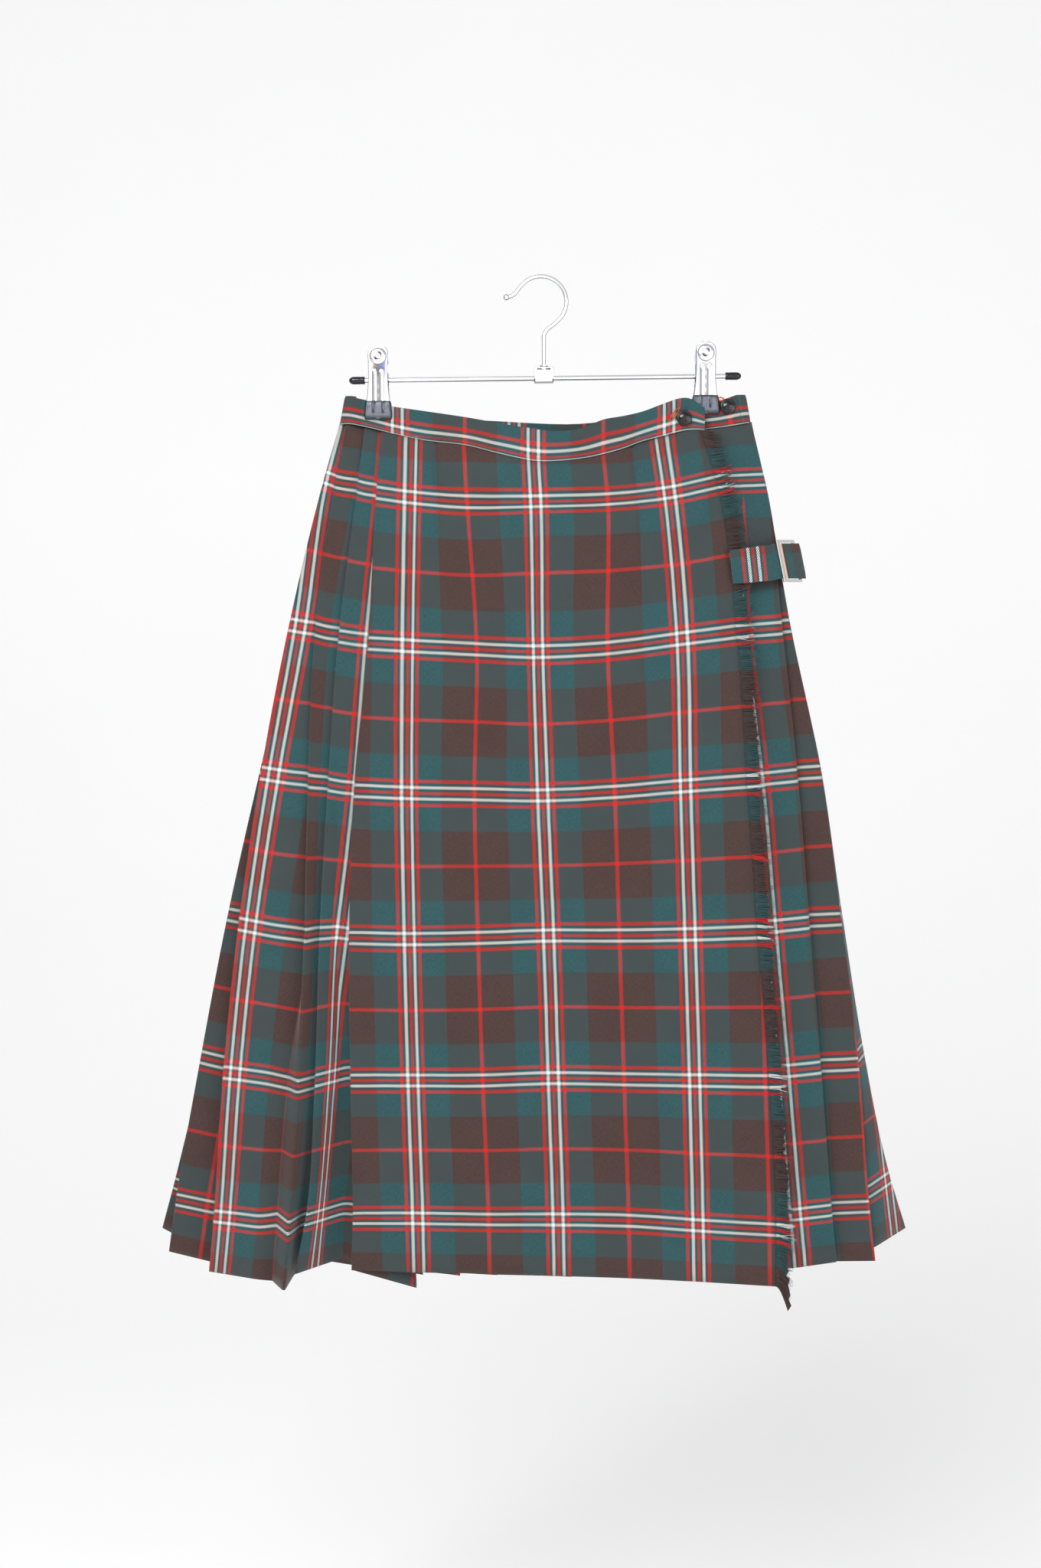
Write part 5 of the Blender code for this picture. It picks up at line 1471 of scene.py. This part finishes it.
class KILT_OT_hanger(bpy.types.Operator):
    """Builds the hanger's bar, tips, hook and bracket"""

    bl_idname = "kilt.hanger"
    bl_label = "Hanger"

    def execute(self, context):
        (x0, z0), (x1, z1) = BAR_ENDS
        length = math.hypot(x1 - x0, z1 - z0)
        axis = bar_axis()
        steel = steel_material()
        profile = [(0, 0), (BAR_RADIUS, 0), (BAR_RADIUS, length), (0, length)]
        bar = turned("hanger_bar_wire", profile, (x0, 0, z0), axis, steel)
        settle(bar, "hanger_bar", slot="hanger_steel")
        for name, end, way in (("hanger_tip_left", (x0, 0, z0), -1), ("hanger_tip_right", (x1, 0, z1), 1)):
            self.tip(name, np.array(end) - axis * way * (TIP_LENGTH - 2.5), axis * way)
        self.hook(steel)
        self.bracket(steel)
        return {"FINISHED"}

    def tip(self, name, place, axis):
        """A soft cap on one end of the bar, from its open end at place."""
        bore = BAR_RADIUS + 0.25
        head = 4.2
        shape = [(0, TIP_LENGTH - 2.2), (bore, TIP_LENGTH - 2.2), (bore, 0.3), (bore + 0.3, 0),
                 (TIP_RADIUS - 0.3, 0), (TIP_RADIUS, 0.4), (TIP_RADIUS, 2.0), (TIP_RADIUS * 0.95, 3.0),
                 (TIP_RADIUS, 4.0)]
        for step in range(7):
            angle = math.pi / 2 * step / 6
            radius = TIP_RADIUS * math.cos(angle) if step < 6 else 0
            shape.append((radius, TIP_LENGTH - head + head * math.sin(angle)))
        vinyl = tuple(bpy.context.scene.kilt_hanger.vinyl)
        black = shared_material("black_vinyl", plain_material, vinyl, 0.13)
        settle(turned(name + "_cap", shape, place, axis, black, sharp=70), name, slot="soft_vinyl")

    def hook(self, steel):
        """The hook: one bent wire, with a ball at its open end and a collar at its foot."""
        points = list(HOOK_TIP)
        for degrees in range(140, -31, -17):
            angle = math.radians(degrees)
            points.append((HOOK_CENTRE[0] + HOOK_RADIUS * math.cos(angle),
                           HOOK_CENTRE[1] + HOOK_RADIUS * math.sin(angle)))
        points += HOOK_NECK
        route = finer(np.array([(x, 0.0, z) for x, z in points]))
        wire = wire_object("hanger_hook_wire", route, HOOK_WIRE, 6, steel)
        settle(wire, "hanger_hook", slot="hanger_steel")
        tip = HOOK_TIP[0]
        count = 14
        ball = [(HOOK_BALL * math.sin(math.pi * i / count), -HOOK_BALL * math.cos(math.pi * i / count))
                for i in range(count + 1)]
        ball[0], ball[-1] = (0, -HOOK_BALL), (0, HOOK_BALL)
        place = (tip[0] - HOOK_BALL + 0.5, 0, tip[1] - 0.4)
        settle(turned("hanger_hook_tip", ball, place, (1, 0, 0.2), steel, sharp=80), "hanger_hook_ball",
               slot="hanger_steel")
        collar = [(HOOK_WIRE, 0), (3.4, 0), (3.6, 0.3), (3.6, 1.0), (3.2, 1.3), (HOOK_WIRE, 1.4)]
        place = (HOOK_NECK[-1][0], 0, BRACKET_TOP + 0.25)
        settle(turned("hanger_hook_collar", collar, place, (0, 0, 1), steel), slot="hanger_steel")

    def bracket(self, steel):
        """A strip bent round the bar, with a rivet on its front and painted shadow: dark plates at its slot
        and lower corners.
        """
        bm = bmesh.new()
        half = BRACKET_DEPTH / 2
        middle = (BRACKET_X[0] + BRACKET_X[1]) / 2
        floor = bar_height(middle) - BAR_RADIUS - BRACKET_SHEET - SEAM
        sheet = BRACKET_SHEET
        outer = [(-half, BRACKET_TOP), (half, BRACKET_TOP), (half, floor), (-half, floor)]
        inner = [(-half + sheet, BRACKET_TOP - sheet), (half - sheet, BRACKET_TOP - sheet),
                 (half - sheet, floor + sheet), (-half + sheet, floor + sheet)]
        rings = []
        for x in BRACKET_X:
            lift = bar_height(x) - bar_height(middle)
            rings.append([[bm.verts.new(np.array((x, y, z + (lift if z < BRACKET_TOP - 3 else 0))) * MM)
                           for y, z in ring] for ring in (outer, inner)])
        for skin in (0, 1):
            ring_faces(bm, rings[0][skin], rings[1][skin])
        for outside, inside in rings:
            ring_faces(bm, outside, inside)
        obj = finished(bm, "hanger_bracket_strip", steel, bevel=0.5)
        settle(obj, "hanger_bracket", slot="hanger_steel")
        # Dark plates of painted shadow: one for the slot's shade and two at the bracket's lower corners
        # under the bar.
        dark = shared_material("slot_shadow", plain_material, (0.10, 0.095, 0.09), 0.5, 0.6)
        left, right = BRACKET_X
        slot, foot = BRACKET_TOP - 2.0, floor + 1.4
        pads = (("hanger_bracket_slot", middle, slot, 12.0, 1.5, 0.12, dark),
                ("hanger_bracket_foot_left", left + 0.6, foot, 1.2, 2.8, 0.12, dark),
                ("hanger_bracket_foot_right", right - 0.6, foot, 1.2, 2.8, 0.12, dark),
                ("hanger_rivet", middle, slot, 3.6, 2.2, 0.5, steel))
        for name, x, z, wide, high, out, material in pads:
            settle(self.pad(name, (x, -half, z), wide, high, out, material), slot="hanger_steel")

    def pad(self, name, place, wide, high, out, material):
        """A low raised plate on the bracket's front."""
        bm = bmesh.new()
        rings = []
        for back, grow in ((0.05, 1.0), (-out, 0.92)):
            size = np.array((wide / 2 * grow, 1.0, high / 2 * grow))
            rings.append([bm.verts.new((np.array(place) + size * (side, back, end)) * MM)
                          for side, end in ((-1, -1), (1, -1), (1, 1), (-1, 1))])
        ring_faces(bm, *rings)
        for ring in rings:
            bm.faces.new(ring)
        return finished(bm, name, material, bevel=0.1)


def pressed(name, sections, centre, way, material):
    """A painted pressing that faces the viewer or the wall as way says.

    A section is its height and its points: across, out to the front and to the back, and the tone of
    each, which is painted reflection and shade.
    """
    bm = bmesh.new()
    rings, tones = [], []
    for z, points in sections:
        outer, inner = [], []
        for x, front, back, front_tone, back_tone in points:
            outer.append(bm.verts.new(np.array((centre + x, way * front, z)) * MM))
            inner.append(bm.verts.new(np.array((centre + x, way * back, z)) * MM))
            tones += [front_tone, back_tone]
        rings.append((outer, inner))
    last = len(rings[0][0]) - 1
    for upper, lower in zip(rings, rings[1:]):
        for side in (0, 1):
            for i in range(last):
                bm.faces.new((upper[side][i], upper[side][i + 1], lower[side][i + 1], lower[side][i]))
        for i in (0, last):
            bm.faces.new((upper[0][i], upper[1][i], lower[1][i], lower[0][i]))
    for outer, inner in (rings[0], rings[-1]):
        for i in range(last):
            bm.faces.new((outer[i], outer[i + 1], inner[i + 1], inner[i]))
    obj = finished(bm, name, material, smooth_angle=50)
    paint(obj.data, tones)
    return obj


class KILT_OT_clips(bpy.types.Operator):
    """Builds the two sprung clips"""

    bl_idname = "kilt.clips"
    bl_label = "Clips"

    def execute(self, context):
        steel = steel_material()
        for name, (centre, top, jaw_top, jaw_bottom) in CLIPS.items():
            self.coil(name, centre, steel)
            for word, way in (("front", -1), ("back", 1)):
                leaf = self.leaf(f"{name}_{word}_leaf_plate", centre, top, jaw_top + SEAM, way, steel)
                settle(leaf, f"{name}_{word}_leaf", slot="hanger_steel")
                jaw = self.jaw(f"{name}_{word}_jaw_grip", centre, jaw_top, jaw_bottom, way)
                settle(jaw, f"{name}_{word}_jaw", slot="soft_vinyl")
            out = LEAF_ROWS[2][2] + 0.3
            height = top - DISC_DOWN
            disc = turned(name + "_boss", DISC_PROFILE, (centre, -out, height), (0, -1, 0.02), steel,
                          segments=40, sharp=70)
            # The disc's painted reflection: darker patches on its dimple's wall and at its rim.
            paint(disc.data, [self.disc_painted_reflection(vert.co / MM, centre, height) for vert in disc.data.vertices])
            settle(disc, name + "_disc", slot="hanger_steel")
        return {"FINISHED"}

    def disc_painted_reflection(self, spot, centre, height):
        """Painted reflection on the pressed disc: darker in patches of its dimple's wall, and at its rim."""
        across, down = spot.x - centre, height - spot.z
        radius = math.hypot(across, down)
        wall = swell((radius - DISC_WALL) / 1.3)
        patches = max(0.0, math.sin(2 * math.atan2(down, across) + 3.6))
        return min(1.0, wall * patches * 1.3 + 0.8 * swell((radius - DISC_RADIUS) / 0.8))

    def coil(self, name, centre, steel):
        """The spring's coils round the bar."""
        wire = (COIL_RADIUS - BAR_RADIUS - SEAM) / 2
        radius = COIL_RADIUS - wire
        points = COIL_TURNS * COIL_STEPS
        route = []
        for i in range(points + 1):
            angle = 2 * math.pi * i / COIL_STEPS
            x = centre - COIL_HALF + wire + (2 * COIL_HALF - 2 * wire) * i / points
            route.append((x, radius * math.cos(angle), bar_height(x) + radius * math.sin(angle)))
        settle(wire_object(name + "_spring", route, wire, 3, steel), name + "_coil", slot="hanger_steel")

    def leaf(self, name, centre, top, bottom, way, steel):
        """One pressed leaf of a clip, with two raised ribs above its jaw."""
        stations = [row[0] for row in LEAF_ROWS]
        shape = [(row[1], row[2]) for row in LEAF_ROWS]
        sections = []
        for share in (*np.linspace(0, LEAF_HEAD, 9), *np.linspace(0.16, 1.0, 43)):
            half, out = smooth(stations, shape, share)
            if share < LEAF_HEAD:
                half = LEAF_HALF * math.sqrt(max(0.05, 1 - (1 - share / LEAF_HEAD) ** 2))
            rise = RIB_HEIGHT * min(1.0, max(0.0, (share - RIB_FROM) / 0.05))
            points = []
            for x in half * np.linspace(-1, 1, LEAF_STEPS + 1):
                rib = rise * swell((abs(x) - RIB_MIDDLE) / RIB_HALF) if share >= RIB_FROM else 0.0
                bow = LEAF_BOW * (1 - (x / LEAF_HALF) ** 2)
                # Each point's painted reflection.
                tone = self.leaf_painted_reflection(x, half, share)
                points.append((x, out + rib + bow - LEAF_BOW, out - LEAF_SHEET, tone, 0.0))
            sections.append((top + (bottom - top) * share, points))
        return pressed(name, sections, centre, way, steel)

    def leaf_painted_reflection(self, x, half, share):
        """Painted reflection on a leaf's plating: darker at its rims, round its ribs and on the web between
        them.
        """
        rim = 0.95 * swell((half - abs(x)) / 1.0)
        if share < RIB_FROM:
            below = math.hypot(abs(x) - RIB_MIDDLE, (RIB_FROM - share) * LEAF_REACH)
            return max(rim, 0.6 * swell((below - 2.2) / 0.8), 0.3 * swell(x / 2.4) * min(1.0, share * 2))
        outline = 0.7 * swell((abs(abs(x) - RIB_MIDDLE) - 1.9) / 0.7)
        web = (0.3 + 0.2 * math.sin(share * 40)) * float(abs(x) < WEB_HALF)
        return max(rim, outline, web)

    def jaw(self, name, centre, top, bottom, way):
        """The soft sleeve on the end of a leaf, with the leaf's ribs pressed through it."""
        shares, halves, fulls = np.array(JAW_ROWS).T
        sections = []
        for share in np.linspace(0, 1, JAW_STEPS + 1):
            half, full = np.interp(share, shares, halves), np.interp(share, shares, fulls)
            ribbed = min(1.0, max(0.0, (0.66 - share) / 0.12))
            points = []
            for x in half * np.linspace(-1, 1, 2 * JAW_STEPS + 1):
                round_off = 0.9 * max(0.0, (abs(x) / half - 0.86) / 0.14) ** 2
                rib = 0.75 * swell((abs(x) - JAW_RIB) / 1.9) * ribbed
                out = JAW_GRIP + JAW_THICK * full - round_off + rib - 0.55
                points.append((x, out, JAW_GRIP, self.jaw_painted_shade(x, half, share), 1.0))
            sections.append((top + (bottom - top) * share, points))
        dark = tuple(bpy.context.scene.kilt_hanger.vinyl)
        return pressed(name, sections, centre, way, shared_material("grey_vinyl", sleeve_material, dark))

    def jaw_painted_shade(self, x, half, share):
        """Painted shade on a jaw, at its rim, ribs and the pits below them, less on painted gleams."""
        rim = max(swell((half - abs(x)) / 3.2), swell((1 - share) / 0.28), 0.9 * swell(share / 0.16))
        off_rib = abs(x) - JAW_RIB
        rib = 0.85 * swell(off_rib / 2.3) * float(share < 0.62)
        gleam = swell((off_rib - 0.5) / 0.7) * float(0.12 < share < 0.45)
        pit = swell(math.hypot(off_rib, (share - 0.6) * 13) / 1.7)
        tip = 0.8 * swell(x / 2.6) * swell((share - 0.93) / 0.06)
        return min(1.0, max(0.0, max(rim, rib - 0.7 * gleam, pit) - tip))


class KILT_OT_stage(bpy.types.Operator):
    """Sets the camera, the lights and a plain pale sweep"""

    bl_idname = "kilt.stage"
    bl_label = "Stage"

    def execute(self, context):
        scene = context.scene
        stage = scene.kilt_stage
        scene.view_settings.view_transform = "Standard"
        self.camera(scene)
        self.sweep(scene)
        for name, (place, target, side) in LIGHTS.items():
            self.light(scene, name, place, target, side, getattr(stage, name))
        for name, (place, size, colour, glow) in CARDS.items():
            self.card(name, place, size, colour, glow)
        world = bpy.data.worlds.new("studio")
        scene.world = world
        world.use_nodes = True
        background = world.node_tree.nodes["Background"]
        background.inputs[0].default_value = (1.0, 1.0, 1.0, 1)
        background.inputs[1].default_value = stage.sky
        return {"FINISHED"}

    def camera(self, scene):
        """The photograph's eye: level, in front of the skirt, with its frame."""
        data = bpy.data.cameras.new("camera")
        obj = bpy.data.objects.new("camera", data)
        scene.collection.objects.link(obj)
        middle = ((PHOTO[0] / 2 - HOOK_PIXEL[0]) * PIXEL, (HOOK_PIXEL[1] - PHOTO[1] / 2) * PIXEL)
        obj.location = (middle[0] * MM, -EYE_DISTANCE * MM, middle[1] * MM)
        obj.rotation_euler = (math.pi / 2, 0, 0)
        data.sensor_width = 36.0
        data.lens = data.sensor_width * EYE_DISTANCE / (PHOTO[1] * PIXEL)
        data.clip_end = 50.0
        scene.camera = obj

    def light(self, scene, name, place, target, size, power):
        """A square light aimed at the skirt."""
        data = bpy.data.lights.new(name, "AREA")
        data.size = size
        data.energy = power
        obj = bpy.data.objects.new(name, data)
        scene.collection.objects.link(obj)
        obj.location = place
        aim = np.array(target) - np.array(place)
        tilt = math.acos(-aim[2] / np.linalg.norm(aim))
        obj.rotation_euler = (tilt, 0, math.atan2(aim[0], -aim[1]) + math.pi)

    def sweep(self, scene):
        """A pale floor that curves up into a backdrop, well away from the kilt."""
        profile = [(SWEEP_FRONT, SWEEP_FLOOR)]
        for step in range(13):
            angle = math.pi / 2 * step / 12
            profile.append((SWEEP_BEND * (1 + math.sin(angle)),
                            SWEEP_FLOOR + SWEEP_BEND * (1 - math.cos(angle))))
        profile.append((2 * SWEEP_BEND, SWEEP_TOP))
        rows = [[(x, y, z) for x in (-SWEEP_HALF, SWEEP_HALF)] for y, z in profile]
        mesh = bpy.data.meshes.new("sweep")
        count = len(rows)
        faces = [(2 * i, 2 * i + 1, 2 * i + 3, 2 * i + 2) for i in range(count - 1)]
        mesh.from_pydata([spot for row in rows for spot in row], [], faces)
        mesh.shade_smooth()
        paper = shared_material("backdrop", plain_material, (0.945, 0.945, 0.95), 0.9, grain=0.01, scale=2.0)
        glowing(paper, (1.0, 1.0, 1.0), scene.kilt_stage.glow)
        placed("sweep", mesh, paper)

    def card(self, name, place, size, colour, glow):
        """A coloured or glowing card outside the view, for the plated steel to reflect."""
        mesh = bpy.data.meshes.new(name)
        corners = [(-size, 0, -size), (size, 0, -size), (size, 0, size), (-size, 0, size)]
        mesh.from_pydata([tuple(np.array(place) + corner) for corner in corners], [], [(0, 1, 2, 3)])
        material = shared_material(name, plain_material, colour, 0.8)
        glowing(material, colour, glow)
        obj = placed(name, mesh, material)
        obj.visible_camera = False
        obj.visible_shadow = False
        obj.visible_diffuse = False


class KILT_PT_panel(bpy.types.Panel):
    """Lists the kilt's sizes and the steps that build it"""

    bl_label = "Kilt"
    bl_idname = "KILT_PT_panel"
    bl_space_type = "VIEW_3D"
    bl_region_type = "UI"
    bl_category = "Kilt"

    def draw(self, context):
        scene = context.scene
        for settings in (scene.kilt_tartan, scene.kilt_cloth, scene.kilt_hanger, scene.kilt_stage):
            for name in type(settings).__annotations__:
                self.layout.prop(settings, name)
        for operator in STEPS:
            self.layout.operator(operator.bl_idname)


GROUPS = {"kilt_tartan": KiltTartan, "kilt_cloth": KiltCloth, "kilt_hanger": KiltHanger,
          "kilt_stage": KiltStage}
STEPS = (KILT_OT_skirt, KILT_OT_waistband, KILT_OT_fringe, KILT_OT_strap, KILT_OT_buttons, KILT_OT_hanger,
         KILT_OT_clips, KILT_OT_stage)


def register():
    for group in GROUPS.values():
        bpy.utils.register_class(group)
    for name, group in GROUPS.items():
        setattr(bpy.types.Scene, name, bpy.props.PointerProperty(type=group))
    for entry in (*STEPS, KILT_PT_panel):
        bpy.utils.register_class(entry)


def unregister():
    for entry in (KILT_PT_panel, *STEPS[::-1]):
        bpy.utils.unregister_class(entry)
    for name, group in GROUPS.items():
        delattr(bpy.types.Scene, name)
        bpy.utils.unregister_class(group)


def main():
    register()
    bpy.ops.kilt.skirt()
    bpy.ops.kilt.waistband()
    bpy.ops.kilt.fringe()
    bpy.ops.kilt.strap()
    bpy.ops.kilt.buttons()
    bpy.ops.kilt.hanger()
    bpy.ops.kilt.clips()
    bpy.ops.kilt.stage()


if __name__ == "__main__":
    main()
